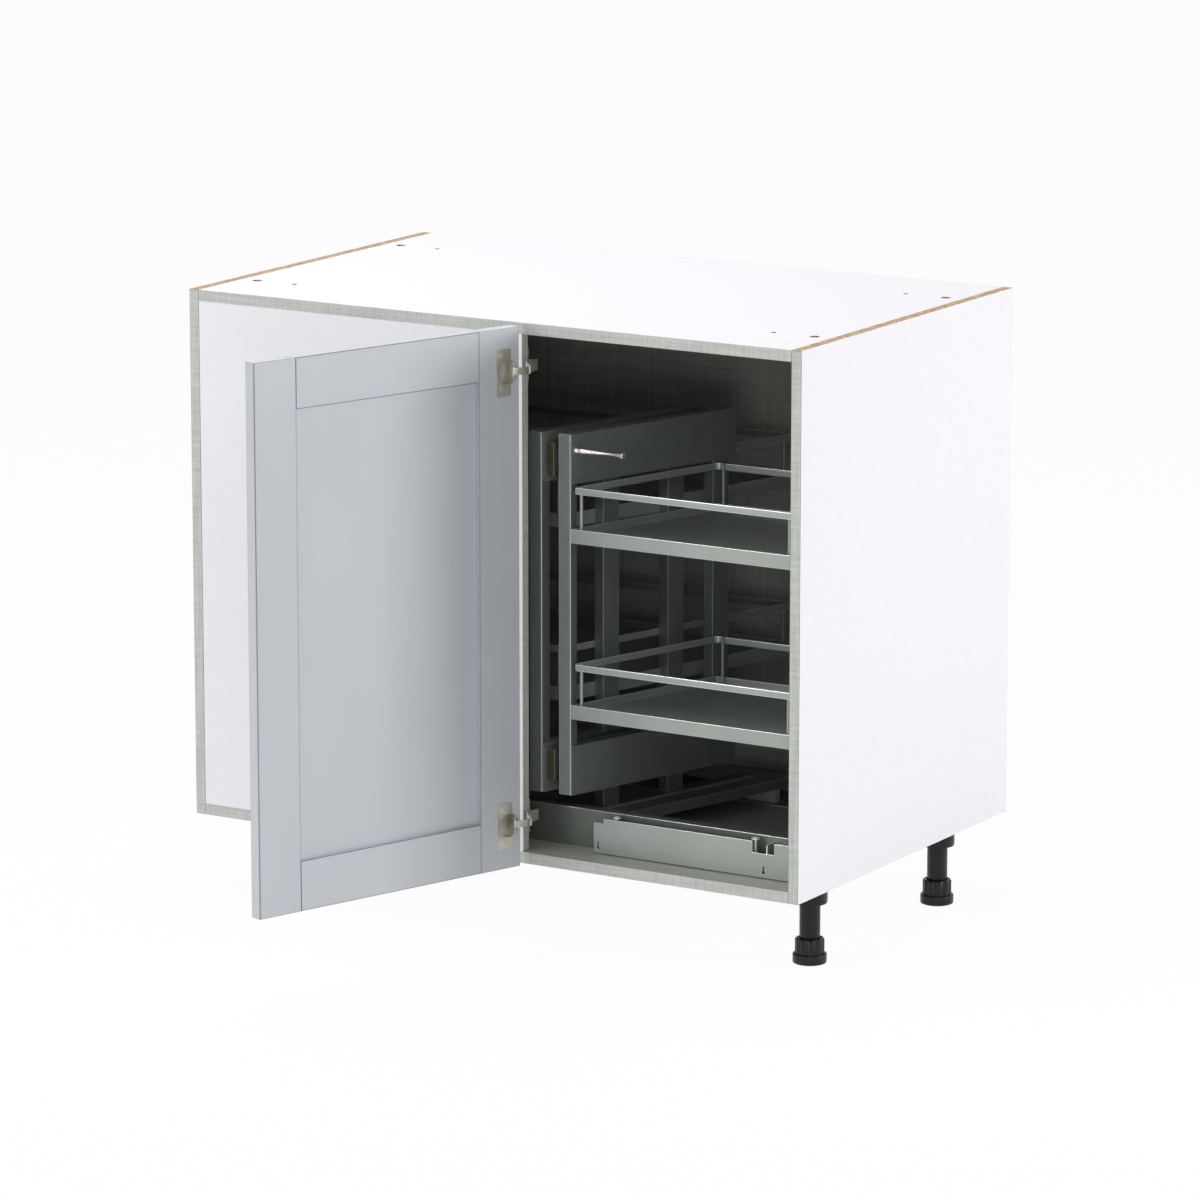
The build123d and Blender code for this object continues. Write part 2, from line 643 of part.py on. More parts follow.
def hinge_link(z):
    """Goose-necked link: it arches over the rim of the door on its way to the arm."""
    length = hypot(arm_pin[0] - cup_pin_open[0], arm_pin[1] - cup_pin_open[1])
    forward = ((arm_pin[0] - cup_pin_open[0]) / length, (arm_pin[1] - cup_pin_open[1]) / length)
    aside = (forward[1], -forward[0])

    def on_link(share, rise):
        return (
            cup_pin_open[0] + forward[0] * length * share + aside[0] * rise,
            cup_pin_open[1] + forward[1] * length * share + aside[1] * rise,
        )

    neck = ribbon([cup_pin_open, on_link(0.12, LINK_ARCH), on_link(0.6, LINK_ARCH), arm_pin], LINK_THICKNESS)
    link = prism(neck, z - LINK_HALF_HEIGHT, z + LINK_HALF_HEIGHT)
    ear_room = KNUCKLE_RADIUS + 3 * NOSE_CLEARANCE
    for side in (-1, 1):
        low = z + side * LINK_NOSE_HALF_HEIGHT - (0 if side > 0 else LINK_HALF_HEIGHT)
        link -= stick_up(arm_pin[0], arm_pin[1], low, ear_room, LINK_HALF_HEIGHT, KNUCKLE_SIDES)
    nose_z = z - LINK_NOSE_HALF_HEIGHT
    nose_height = 2 * LINK_NOSE_HALF_HEIGHT
    link += stick_up(arm_pin[0], arm_pin[1], nose_z, KNUCKLE_RADIUS, nose_height, KNUCKLE_SIDES)
    cup_z = z - LINK_HALF_HEIGHT
    height = 2 * LINK_HALF_HEIGHT
    link += stick_up(cup_pin_open[0], cup_pin_open[1], cup_z, KNUCKLE_RADIUS, height, KNUCKLE_SIDES)
    for x, y in (arm_pin, cup_pin_open):
        link -= post_up(x, y, cup_z, HINGE_PIN_RADIUS + FIT, height)
    return link


def hinge_bracket(z):
    """Arm that reaches past the blind panel's edge, on a plate screwed to the panel's back."""
    arm_x = blind_edge_x + ARM_FROM_BLIND
    knee = (arm_x, DOOR_GAP)
    throat = (arm_pin[0] - 3, arm_pin[1] + 7)
    nose = prism(ribbon([arm_pin, throat, knee, (arm_x, BOARD)], ARM_THICKNESS),
                 z - ARM_NOSE_HALF_HEIGHT, z + ARM_NOSE_HALF_HEIGHT)
    nose_z = z - ARM_NOSE_HALF_HEIGHT
    nose_height = 2 * ARM_NOSE_HALF_HEIGHT
    nose += stick_up(arm_pin[0], arm_pin[1], nose_z, KNUCKLE_RADIUS, nose_height, KNUCKLE_SIDES)
    slot_half = LINK_NOSE_HALF_HEIGHT + NOSE_CLEARANCE
    slot_radius = KNUCKLE_RADIUS + 3 * NOSE_CLEARANCE
    nose -= stick_up(arm_pin[0], arm_pin[1], z - slot_half, slot_radius, 2 * slot_half, KNUCKLE_SIDES)
    nose -= post_up(arm_pin[0], arm_pin[1], nose_z, HINGE_PIN_RADIUS, nose_height)
    half_sheet = ARM_THICKNESS / 2
    arm = block(arm_x - half_sheet, arm_x + half_sheet, DOOR_GAP, ARM_BACK_Y, z - ARM_HALF_HEIGHT, z + ARM_HALF_HEIGHT)
    half = BRACKET_HEIGHT / 2
    plate_x = arm_x + half_sheet - BRACKET_WIDTH
    plate = block(plate_x, arm_x + half_sheet, BOARD, BOARD + ARM_THICKNESS, z - half, z + half)
    plate = chamfer(plate.edges().filter_by(Axis.Y), BRACKET_BREAK)
    for x, screw_z in bracket_screw_places():
        if abs(screw_z - z) < half:
            plate -= stick_back(x, BOARD, screw_z, SCREW_RADIUS + FIT, ARM_THICKNESS)
    return nose + arm + plate


def hinge_pins(place, half_length, radius):
    return [post_up(place[0], place[1], z - half_length, radius, 2 * half_length) for z in hinge_heights]


def floor_screw_places():
    """Plan places of the screws that hold the channel and the rear rail to the floor."""
    xs = (inner_left + FLOOR_SCREW_FROM_END, inner_right - FLOOR_SCREW_FROM_END)
    ys = (CHANNEL_FRONT_Y + FLOOR_SCREW_INSET, rear_rail_back_y - FLOOR_SCREW_INSET)
    return [(x, y) for x in xs for y in ys]


def floor_screws():
    screws = []
    for x, y in floor_screw_places():
        shank_length = SCREW_LENGTH - FIT + SHEET
        shank = stick_up(x, y, BOARD + SHEET - shank_length, SCREW_RADIUS - FIT, shank_length)
        screws.append(shank + stick_up(x, y, BOARD + SHEET, SCREW_HEAD_RADIUS, SCREW_HEAD_HEIGHT))
    return screws


def screw_holes(sheet):
    """Open a floor piece where its screws pass."""
    for x, y in floor_screw_places():
        sheet -= stick_up(x, y, BOARD, SCREW_RADIUS + FIT, SHEET)
    return sheet


def front_channel():
    """Lipped steel channel across the front of the cabinet floor, open to the back."""
    left = inner_left + RAIL_END_GAP
    right = inner_right - RAIL_END_GAP
    front = CHANNEL_FRONT_Y
    bottom = BOARD
    top = BOARD + CHANNEL_HEIGHT
    lip_y = front + CHANNEL_TOP_FLANGE
    channel = block(left, right, front, front + SHEET, bottom, top)
    channel += block(left, right, front, front + CHANNEL_FLOOR_FLANGE, bottom, bottom + SHEET)
    channel += block(left, right, front, lip_y, top - SHEET, top)
    channel += block(left, right, lip_y - SHEET, lip_y, top - CHANNEL_LIP, top)
    return screw_holes(channel)


def rear_rail():
    """Angle across the back of the cabinet floor that guides the carriage's rear glide."""
    left = inner_left + RAIL_END_GAP
    right = inner_right - RAIL_END_GAP
    back = rear_rail_back_y
    rail = block(left, right, back - REAR_RAIL_FLANGE, back, BOARD, BOARD + SHEET)
    rail += block(left, right, back - SHEET, back, BOARD, BOARD + REAR_RAIL_HEIGHT)
    return screw_holes(rail)


def front_cover():
    """Notched front plate with a stepped end, folded back along the floor to the channel."""
    left = cover_left_x
    right = inner_right - COVER_FROM_SIDE
    notch = left + NOTCH_INSET
    front = COVER_FRONT_Y
    top = BOARD + COVER_HEIGHT
    cover = block(left, right, front, front + SHEET, BOARD, top)
    cover -= block(left, left + COVER_STEP_WIDTH, front, front + SHEET, top - COVER_STEP_DROP, top)
    cover -= block(notch, notch + NOTCH_WIDTH, front, front + SHEET, top - NOTCH_DEPTH, top)
    low_corner = cover.edges().filter_by(Axis.Y).group_by(Axis.Z)[0].sort_by(Axis.X)[0]
    cover = fillet(low_corner, COVER_CORNER_RADIUS)
    for inset in KEYHOLE_INSETS:
        x = left + inset
        z = BOARD + KEYHOLE_RISE
        cover -= stick_back(x, front, z, KEYHOLE_RADIUS, SHEET)
        cover -= block(x - KEYHOLE_SLOT / 2, x + KEYHOLE_SLOT / 2, front, front + SHEET, z, z + KEYHOLE_LENGTH)
    floor_left = left + COVER_CORNER_RADIUS
    cover += block(floor_left, right, front, CHANNEL_FRONT_Y, BOARD, BOARD + SHEET)
    gusset_top = top - COVER_STEP_DROP / 2
    gusset = left + GUSSET_INSET
    return cover + block(gusset, gusset + SHEET, front + SHEET, CHANNEL_FRONT_Y, BOARD, gusset_top)


def cover_studs():
    """Adjusting studs that stand in the trough between the cover and the channel."""
    studs = []
    y = (COVER_FRONT_Y + SHEET + CHANNEL_FRONT_Y) / 2
    for inset in STUD_INSETS:
        x = cover_left_x + inset
        foot = BOARD + SHEET
        stud = stick_up(x, y, foot, STUD_RADIUS, STUD_HEIGHT, STUD_SIDES)
        head_z = foot + STUD_HEIGHT - STUD_HEAD_HEIGHT
        head = stick_up(x, y, head_z, STUD_HEAD_RADIUS, STUD_HEAD_HEIGHT, STUD_SIDES)
        head = chamfer(head.edges().group_by(Axis.Z)[-1], STUD_HEAD_HEIGHT / 2)
        studs.append(stud + head)
    return studs


def slide_member(back, reach, half_height, lip, middle_z):
    """One lipped section of a telescopic slide, in run coordinates."""
    side = 1 if reach > 0 else -1
    front = back + reach
    wall = side * SLIDE_WALL
    h = half_height
    section = Polygon(
        (back, -h), (front, -h), (front, -h + lip), (front - wall, -h + lip),
        (front - wall, -h + SLIDE_WALL), (back + wall, -h + SLIDE_WALL),
        (back + wall, h - SLIDE_WALL), (front - wall, h - SLIDE_WALL),
        (front - wall, h - lip), (front, h - lip), (front, h), (back, h),
        align=None,
    )
    return Pos(SLIDE_START, 0, middle_z) * extrude(Plane.YZ * section, amount=SLIDE_LENGTH, dir=(1, 0, 0))


def slide_outer(z):
    """Fixed member, on pads pressed out towards the rear frame's band."""
    back = SLIDE_HALF_THICKNESS
    member = slide_member(back, -OUTER_REACH, OUTER_HALF_HEIGHT, OUTER_LIP, z)
    for along in PAD_PLACES:
        member += block(along - PAD_HALF, along + PAD_HALF, back, REAR_FACE_ACROSS, z - PAD_HALF, z + PAD_HALF)
    return run * member


def slide_middle(z):
    back = SLIDE_HALF_THICKNESS - MIDDLE_INSET
    return run * slide_member(back, -MIDDLE_REACH, MIDDLE_HALF_HEIGHT, MIDDLE_LIP, z)


def slide_inner(z):
    return run * slide_member(-SLIDE_HALF_THICKNESS, INNER_REACH, INNER_HALF_HEIGHT, INNER_LIP, z)


def slide_buffer(z):
    """Soft plastic stop on the front end of the moving member."""
    back_end = SLIDE_START - BUFFER_GAP
    face = SLIDE_HALF_THICKNESS
    half = BUFFER_HALF_HEIGHT
    buffer = block(back_end - BUFFER_THICKNESS, back_end, -face, face, z - half, z + half)
    plug = block(back_end, SLIDE_START, -face, -face + SLIDE_WALL, z - PAD_HALF, z + PAD_HALF)
    return run * (chamfer(buffer.edges().filter_by(Axis.X), BUFFER_BREAK) + plug)


def slide_brackets():
    """Folded brackets that tie the moving members to the front frame's bands."""
    brackets = []
    outer = front_face + SHEET
    inner = -SLIDE_HALF_THICKNESS
    half_length = BRACKET_LENGTH / 2
    half = INNER_HALF_HEIGHT
    for z in SLIDE_HEIGHTS:
        for along in PAD_PLACES:
            bracket = block(along - half_length, along + half_length, outer, inner, z - half, z + half)
            bracket -= block(
                along - half_length + SHEET, along + half_length - SHEET, outer, inner - SHEET, z - half, z + half
            )
            brackets.append(run * bracket)
    return brackets


def frame_post(face, front_y, width, depth):
    """Square post whose front right corner meets the inside of its band's face."""
    right = run_x(face + SHEET, front_y)
    post = block(right - width, right, front_y, front_y + depth, FRAME_BOTTOM, FRAME_TOP)
    return chamfer(post.edges().filter_by(Axis.Z), POST_BREAK)


def front_post():
    return frame_post(front_face, RUN_Y, POST_WIDTH, POST_DEPTH)


def rear_post():
    return frame_post(REAR_FACE_ACROSS, REAR_POST_Y, REAR_POST_WIDTH, REAR_POST_DEPTH)


def upright(face, along, bottom):
    """Square tube standing behind the bands' faces, in notches of their flanges."""
    start = face + SHEET
    return run * block(along, along + UPRIGHT_LENGTH, start, face + BAND_DEPTH, bottom, FRAME_TOP - SHEET)


def front_upright():
    return upright(front_face, UPRIGHT_ALONG, FRAME_BOTTOM + SHEET)


def carriage_posts():
    bottom = CARRIAGE_BOTTOM + CARRIAGE_HEIGHT
    return [upright(REAR_FACE_ACROSS, along, bottom) for along in CARRIAGE_POST_PLACES]


def band(face, front_y, z0, crease_z, posts):
    """Folded band from the post back, with a pressed crease along its face, notched for the posts."""
    start = run_along(face, front_y)
    end = start + FRAME_REACH
    z1 = z0 + BAND_HEIGHT
    left = face + BAND_DEPTH
    piece = block(start, end, face, left, z0, z1)
    piece -= block(start, end, face + SHEET, left, z0 + SHEET, z1 - SHEET)
    piece -= block(start, end, face, face + CREASE_DEPTH, crease_z, crease_z + CREASE_WIDTH)
    piece = run * piece
    for post in posts:
        piece -= post
    return piece


def front_band(z0, crease_z):
    """Band of the front frame, with the hole through which the handle rod meets the post."""
    piece = band(front_face, RUN_Y, z0, crease_z, [front_post(), front_upright()])
    rod_x, rod_y = handle_place()
    return piece - stick_right(rod_x, rod_y, HANDLE_Z, HANDLE_HOLE_RADIUS, POST_DEPTH)


def rear_band(z0, crease_z):
    return band(REAR_FACE_ACROSS, REAR_POST_Y, z0, crease_z, [rear_post(), *carriage_posts()])


def run_strip(right, left, front_y, back_y):
    """Plan outline of a strip along the runners, cut square to the cabinet at both ends."""
    return Polygon(
        (run_x(right, front_y), front_y), (run_x(right, back_y), back_y),
        (run_x(left, back_y), back_y), (run_x(left, front_y), front_y),
        align=None,
    )


def carriage():
    """Folded carriage that carries the rear unit, with a stiffening ridge along its top."""
    top = CARRIAGE_BOTTOM + CARRIAGE_HEIGHT
    outline = run_strip(CARRIAGE_RIGHT_ACROSS, CARRIAGE_LEFT_ACROSS, CARRIAGE_FRONT_Y, carriage_back_y)
    hollow = run_strip(
        CARRIAGE_RIGHT_ACROSS + SHEET, CARRIAGE_LEFT_ACROSS - SHEET, CARRIAGE_FRONT_Y, carriage_back_y
    )
    body = prism(outline, CARRIAGE_BOTTOM, top) - prism(hollow, CARRIAGE_BOTTOM, top - SHEET)
    ridge = run_strip(
        -RIDGE_WIDTH / 2, RIDGE_WIDTH / 2, CARRIAGE_FRONT_Y + RIDGE_SETBACK, carriage_back_y - 2 * RIDGE_SETBACK
    )
    return body + prism(ridge, top, top + RIDGE_HEIGHT)


def carriage_glides():
    """Nylon blocks under the carriage that slide along the channel and the rear rail."""
    glides = []
    foot = BOARD + SHEET + GLIDE_GAP
    head = CARRIAGE_BOTTOM + CARRIAGE_HEIGHT - SHEET
    middle = (CARRIAGE_RIGHT_ACROSS + CARRIAGE_LEFT_ACROSS) / 2
    for y in (CARRIAGE_FRONT_Y + SHEET, carriage_back_y - SHEET - GLIDE_DEPTH):
        x = run_x(middle, y + GLIDE_DEPTH / 2)
        glides.append(block(x - GLIDE_LENGTH / 2, x + GLIDE_LENGTH / 2, y, y + GLIDE_DEPTH, foot, head))
    return glides


front_tray_right_x = inner_right - FRONT_TRAY_FROM_SIDE
front_tray_outline = [
    (run_x(front_face + SHEET, FRONT_TRAY_FRONT_Y), FRONT_TRAY_FRONT_Y),
    (front_tray_right_x, FRONT_TRAY_FRONT_Y),
    (front_tray_right_x, FRONT_TRAY_BACK_Y),
    (run_x(front_face + SHEET, FRONT_TRAY_BACK_Y), FRONT_TRAY_BACK_Y),
]
rear_tray_left_x = inner_left + REAR_TRAY_FROM_SIDE
rear_tray_back_y = CABINET_DEPTH - REAR_TRAY_FROM_BACK
rear_tray_outline = [
    (rear_tray_left_x, REAR_TRAY_FRONT_Y),
    (run_x(REAR_FACE_ACROSS + BAND_DEPTH, REAR_TRAY_FRONT_Y), REAR_TRAY_FRONT_Y),
    (run_x(REAR_FACE_ACROSS + BAND_DEPTH, rear_tray_back_y), rear_tray_back_y),
    (rear_tray_left_x, rear_tray_back_y),
]


def inset_outline(corners, inset):
    return offset(Polygon(*corners, align=None), amount=-inset, kind=Kind.INTERSECTION)


def tray(corners, top):
    """Shallow sheet tray: an upright rim all round, and a floor between its top and bottom edges."""
    floor_top = top - TRAY_SINK
    body = prism(Polygon(*corners, align=None), top - TRAY_RIM, top)
    inside = inset_outline(corners, TRAY_WALL)
    body -= prism(inside, floor_top, top)
    body -= prism(inside, top - TRAY_RIM, floor_top - TRAY_SHEET)
    return chamfer(body.edges().group_by(Axis.Z)[-1], TRAY_BREAK)


def railing(corners, tray_top):
    """Flat bar bent round the tray, standing on its pins."""
    bar_top = tray_top + RAILING_RISE
    outer = inset_outline(corners, RAILING_INSET)
    outer = chamfer(outer.vertices(), RAILING_CORNER)
    inner = inset_outline(corners, RAILING_INSET + RAILING_THICKNESS)
    inner = chamfer(inner.vertices(), RAILING_CORNER - RAILING_THICKNESS)
    return prism(outer, bar_top - RAILING_HEIGHT, bar_top) - prism(inner, bar_top - RAILING_HEIGHT, bar_top)


def railing_pins(corners, tray_top):
    """Four round pins from the tray's floor to the underside of its railing."""
    pins = []
    foot = tray_top - TRAY_SINK
    height = TRAY_SINK + RAILING_RISE - RAILING_HEIGHT
    xs = sorted(corner[0] for corner in corners)
    ys = sorted({corner[1] for corner in corners})
    for corner in corners:
        inward_x = 1 if corner[0] < (xs[0] + xs[-1]) / 2 else -1
        inward_y = 1 if corner[1] == ys[0] else -1
        x = corner[0] + inward_x * RAILING_PIN_FROM_CORNER
        y = corner[1] + inward_y * RAILING_PIN_INSET
        pins.append(stick_up(x, y, foot, RAILING_PIN_RADIUS, height, RAILING_PIN_SIDES))
    return pins


def handle_place():
    """Plan point where the rod's foot meets the post."""
    return run_x(front_face + SHEET, RUN_Y), RUN_Y + POST_DEPTH / 2


def handle_rod():
    """Turned rod: a bulb and a collar at the post, a thin waist and a flared end."""
    profile = [
        (0, HANDLE_NECK_RADIUS),
        (HANDLE_BULB_AT - HANDLE_BULB_HALF, HANDLE_NECK_RADIUS),
        (HANDLE_BULB_AT, HANDLE_BULB_RADIUS),
        (HANDLE_BULB_AT + HANDLE_BULB_HALF, HANDLE_NECK_RADIUS),
        (HANDLE_COLLAR_AT, HANDLE_COLLAR_RADIUS),
        (HANDLE_COLLAR_AT + HANDLE_COLLAR_LENGTH, HANDLE_COLLAR_RADIUS),
        (HANDLE_WAIST_AT, HANDLE_WAIST_RADIUS),
        (HANDLE_LENGTH - HANDLE_END_LENGTH, HANDLE_END_RADIUS),
        (HANDLE_LENGTH, HANDLE_END_RADIUS),
    ]
    sections = [Pos(0, 0, along) * RegularPolygon(radius, HANDLE_SIDES) for along, radius in profile]
    x, y = handle_place()
    return Pos(x, y, HANDLE_Z) * Rot(0, 90, 0) * loft(sections, ruled=True)


keep("left_side_panel", side_panel(inner_left, -1))
keep("right_side_panel", side_panel(inner_right, 1))
keep("top_panel", top_panel())
keep("bottom_panel", bottom_panel())
keep("back_panel", block(inner_left, inner_right, CABINET_DEPTH - BOARD, CABINET_DEPTH, BOARD, inner_top))
keep("blind_panel", blind_panel())
keep("cam_locks", cam_locks())
keep("cam_bolts", cam_bolts())
keep("joint_dowels", joint_dowels())

keep("leg_sockets", [leg_socket(*place) for place in leg_places.values()])
for name, place in leg_places.items():
    keep("leg_foot_" + name, leg_foot(*place))

keep("door_hinge_stile", door_open * hinge_stile())
keep("door_free_stile", door_open * door_stile(door_right_x - STILE_WIDTH, False))
keep("door_bottom_rail", door_open * door_rail(DOOR_BOTTOM, True))
keep("door_top_rail", door_open * door_rail(door_top_z - RAIL_HEIGHT, False))
keep("door_centre_panel", door_open * centre_panel())

for level, hinge_z in zip(("lower", "upper"), hinge_heights):
    keep("hinge_bracket_" + level, hinge_bracket(hinge_z))
    keep("hinge_link_" + level, hinge_link(hinge_z))
    keep("hinge_cup_" + level, door_open * hinge_cup(hinge_z))
keep("hinge_arm_pins", hinge_pins(arm_pin, ARM_PIN_HALF_LENGTH, HINGE_PIN_RADIUS))
keep("hinge_cup_pins", hinge_pins(cup_pin_open, CUP_PIN_HALF_LENGTH, HINGE_PIN_RADIUS))
keep("hinge_bracket_screws", bracket_screws())
keep("hinge_cup_screws", cup_screws())

keep("floor_channel", front_channel())
keep("floor_rear_rail", rear_rail())
keep("floor_cover", front_cover())
keep("floor_cover_studs", cover_studs())
keep("floor_screws", floor_screws())

keep("slide_outer_members", [slide_outer(z) for z in SLIDE_HEIGHTS])
keep("slide_middle_members", [slide_middle(z) for z in SLIDE_HEIGHTS])
keep("slide_inner_members", [slide_inner(z) for z in SLIDE_HEIGHTS])
keep("slide_buffers", [slide_buffer(z) for z in SLIDE_HEIGHTS])
keep("slide_brackets", slide_brackets())

keep("front_frame_post", front_post())
keep("front_upper_band", front_band(upper_band_z, upper_crease_z))
keep("front_lower_band", front_band(FRAME_BOTTOM, lower_crease_z))
keep("front_rear_upright", front_upright())
keep("front_handle_rod", handle_rod())
keep("rear_frame_post", rear_post())
keep("rear_upper_band", rear_band(upper_band_z, upper_crease_z))
keep("rear_lower_band", rear_band(FRAME_BOTTOM, lower_crease_z))
keep("rear_carriage", carriage())
keep("rear_carriage_posts", carriage_posts())
keep("rear_carriage_glides", carriage_glides())

trays = {"front": (front_tray_outline, FRONT_TRAY_TOPS), "rear": (rear_tray_outline, REAR_TRAY_TOPS)}
for unit, (corners, tops) in trays.items():
    pins = []
    for level, tray_top in zip(("lower", "upper"), tops):
        keep(unit + "_tray_" + level, tray(corners, tray_top))
        keep(unit + "_railing_" + level, railing(corners, tray_top))
        pins += railing_pins(corners, tray_top)
    keep(unit + "_railing_pins", pins)

# The footprint box reaches from the open door's free edge to the back of the carcass
door_reach_y = opened((door_right_x, door_back_y))[1]
to_origin = Pos(-CABINET_WIDTH / 2, -(CABINET_DEPTH + door_reach_y) / 2, LEG_HEIGHT)

os.makedirs("parts", exist_ok=True)
for name, shape in nodes.items():
    export_step(to_origin * shape, os.path.join("parts", name + ".step"))
print(len(nodes), "nodes; arm pin", arm_pin, "cup pin", cup_pin_open, "door reach", door_reach_y)
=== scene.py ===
import bpy
import json
from math import pi, radians
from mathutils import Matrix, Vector

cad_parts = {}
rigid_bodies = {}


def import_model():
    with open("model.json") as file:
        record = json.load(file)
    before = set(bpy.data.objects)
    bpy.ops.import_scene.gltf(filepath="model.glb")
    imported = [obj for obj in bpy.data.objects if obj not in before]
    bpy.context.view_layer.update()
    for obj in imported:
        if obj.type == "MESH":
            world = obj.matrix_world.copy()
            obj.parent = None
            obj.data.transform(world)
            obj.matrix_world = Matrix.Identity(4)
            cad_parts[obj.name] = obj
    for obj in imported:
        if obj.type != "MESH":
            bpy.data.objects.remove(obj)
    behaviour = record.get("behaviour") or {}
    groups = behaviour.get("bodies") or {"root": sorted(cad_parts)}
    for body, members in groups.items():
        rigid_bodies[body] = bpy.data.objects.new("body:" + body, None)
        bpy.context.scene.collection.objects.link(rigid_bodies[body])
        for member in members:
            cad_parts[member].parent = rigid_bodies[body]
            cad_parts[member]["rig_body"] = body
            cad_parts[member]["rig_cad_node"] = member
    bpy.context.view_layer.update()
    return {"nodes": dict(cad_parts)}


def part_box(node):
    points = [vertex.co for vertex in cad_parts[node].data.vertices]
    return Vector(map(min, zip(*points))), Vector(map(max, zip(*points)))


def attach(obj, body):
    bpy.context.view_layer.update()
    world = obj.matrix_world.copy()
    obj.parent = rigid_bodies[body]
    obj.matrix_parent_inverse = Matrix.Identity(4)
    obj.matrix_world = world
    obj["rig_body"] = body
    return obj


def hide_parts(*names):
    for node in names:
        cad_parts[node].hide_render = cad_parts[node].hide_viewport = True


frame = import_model()

# Carcass boards
# Six chipboards 15.9 mm thick, pressed between sheets of melamine paper: white outside, a grey
# linen print inside. The front edges are banded in the linen; the other edges are left as sawn.
BOARD_EASE = 0.0006
PAPER_REACH = 0.0010


def colour(code):
    """Hex colour as seen on a screen, turned into the linear colour that a shader reads."""
    shares = [int(code[start:start + 2], 16) / 255 for start in (1, 3, 5)]
    linear = [s / 12.92 if s <= 0.04045 else ((s + 0.055) / 1.055) ** 2.4 for s in shares]
    return (*linear, 1.0)


def add_node(finish, kind, settings=(), links=()):
    """Add one shader node, set its sockets or options by name, and join its inputs to outputs."""
    made = finish.node_tree.nodes.new("ShaderNode" + kind)
    for name, value in dict(settings).items():
        if name in made.inputs:
            made.inputs[name].default_value = value
        else:
            setattr(made, name, value)
    for name, source in dict(links).items():
        finish.node_tree.links.new(source, made.inputs[name])
    return made


def new_finish(name, shade, roughness, **constants):
    """Start a finish with its plain colour, roughness and the other constants of its surface."""
    finish = bpy.data.materials.new(name)
    finish.use_nodes = True
    skin = finish.node_tree.nodes["Principled BSDF"]
    skin.inputs["Base Color"].default_value = colour(shade)
    skin.inputs["Roughness"].default_value = roughness
    for socket, value in constants.items():
        skin.inputs[socket.replace("_", " ")].default_value = value
    return finish


def grain(finish, per_metre, detail=2.0, roughness=0.5):
    """Noise in real size: its marks to the metre along x, y and z, so that 500 are 2 mm apart."""
    place = add_node(finish, "TexCoord").outputs["Object"]
    spread = add_node(finish, "Mapping", {"Scale": per_metre}, {"Vector": place})
    settings = {"Scale": 1.0, "Detail": detail, "Roughness": roughness}
    return add_node(finish, "TexNoise", settings, {"Vector": spread.outputs["Vector"]}).outputs[0]


def shades(finish, source, stops):
    """Colour ramp through (place, colour) stops."""
    ramp = add_node(finish, "ValToRGB", links={"Fac": source})
    elements = ramp.color_ramp.elements
    elements[0].position, elements[0].color = stops[0][0], colour(stops[0][1])
    elements[1].position, elements[1].color = stops[-1][0], colour(stops[-1][1])
    for place, code in stops[1:-1]:
        elements.new(place).color = colour(code)
    return ramp.outputs["Color"]


def levels(finish, source, least, most, span=(0.0, 1.0)):
    """Stretch a value between two bounds."""
    settings = {"From Min": span[0], "From Max": span[1], "To Min": least, "To Max": most}
    return add_node(finish, "MapRange", settings, {"Value": source}).outputs["Result"]


def wear(finish, shade, roughness, height, depth):
    """Join a finish's colour, roughness and relief to its surface; depth is in millimetres."""
    bump = add_node(finish, "Bump", {"Strength": 1.0, "Distance": depth / 1000}, {"Height": height})
    skin = finish.node_tree.nodes["Principled BSDF"]
    sources = {"Base Color": shade, "Roughness": roughness, "Normal": bump.outputs["Normal"]}
    for socket, source in sources.items():
        if source:
            finish.node_tree.links.new(source, skin.inputs[socket])


# White melamine paper, pressed to a faint pearl texture that only shows in its gloss
white_melamine = new_finish("white_melamine_paper", "#EDECF1", 0.42)
pearl = grain(white_melamine, (900, 900, 900), 3.0)
mottle = grain(white_melamine, (140, 140, 140))
wear(
    white_melamine,
    shades(white_melamine, mottle, [(0.35, "#EDECF1"), (0.65, "#EFEEF3")]),
    levels(white_melamine, pearl, 0.36, 0.5),
    pearl, 0.006,
)


def blend(finish, kind, first, second, share=0.5):
    """Mix or multiply two colours or values; share is the part that the second one has."""
    settings = {"blend_type": kind, "Fac": share}
    return add_node(finish, "MixRGB", settings, {"Color1": first, "Color2": second}).outputs["Color"]


def linen_paper(name, dark, middle, light):
    """Printed linen: crossed threads of uneven tone with long slubs, drawn about 2 mm apart to show."""
    paper = new_finish(name, middle, 0.5)
    runs = ((8, 560, 560), (560, 8, 560), (560, 560, 8))
    threads = [grain(paper, run, 3.0, 0.7) for run in runs]
    slubs = [grain(paper, run, 1.0) for run in ((7, 240, 240), (240, 240, 7))]
    crossed = blend(paper, "MIX", blend(paper, "MIX", threads[0], threads[2]), threads[1], 0.34)
    woven = blend(paper, "MIX", crossed, blend(paper, "MIX", slubs[0], slubs[1]), 0.3)
    tone = shades(paper, woven, [(0.40, dark), (0.5, middle), (0.60, light)])
    wear(paper, tone, levels(paper, woven, 0.42, 0.6), woven, 0.02)
    return paper


linen_edge = linen_paper("linen_print_edging", "#ABADA8", "#C0C2BD", "#D1D3CE")
# Painted shade: the inside print is the edging's linen in darker tones, for the shade inside the carcass
linen_inside_shaded = linen_paper("linen_print_melamine", "#91928C", "#A4A59F", "#B6B7B1")
linen_back = linen_paper("linen_print_back_sheet", "#ACADA7", "#BDBEB8", "#CDCEC8")

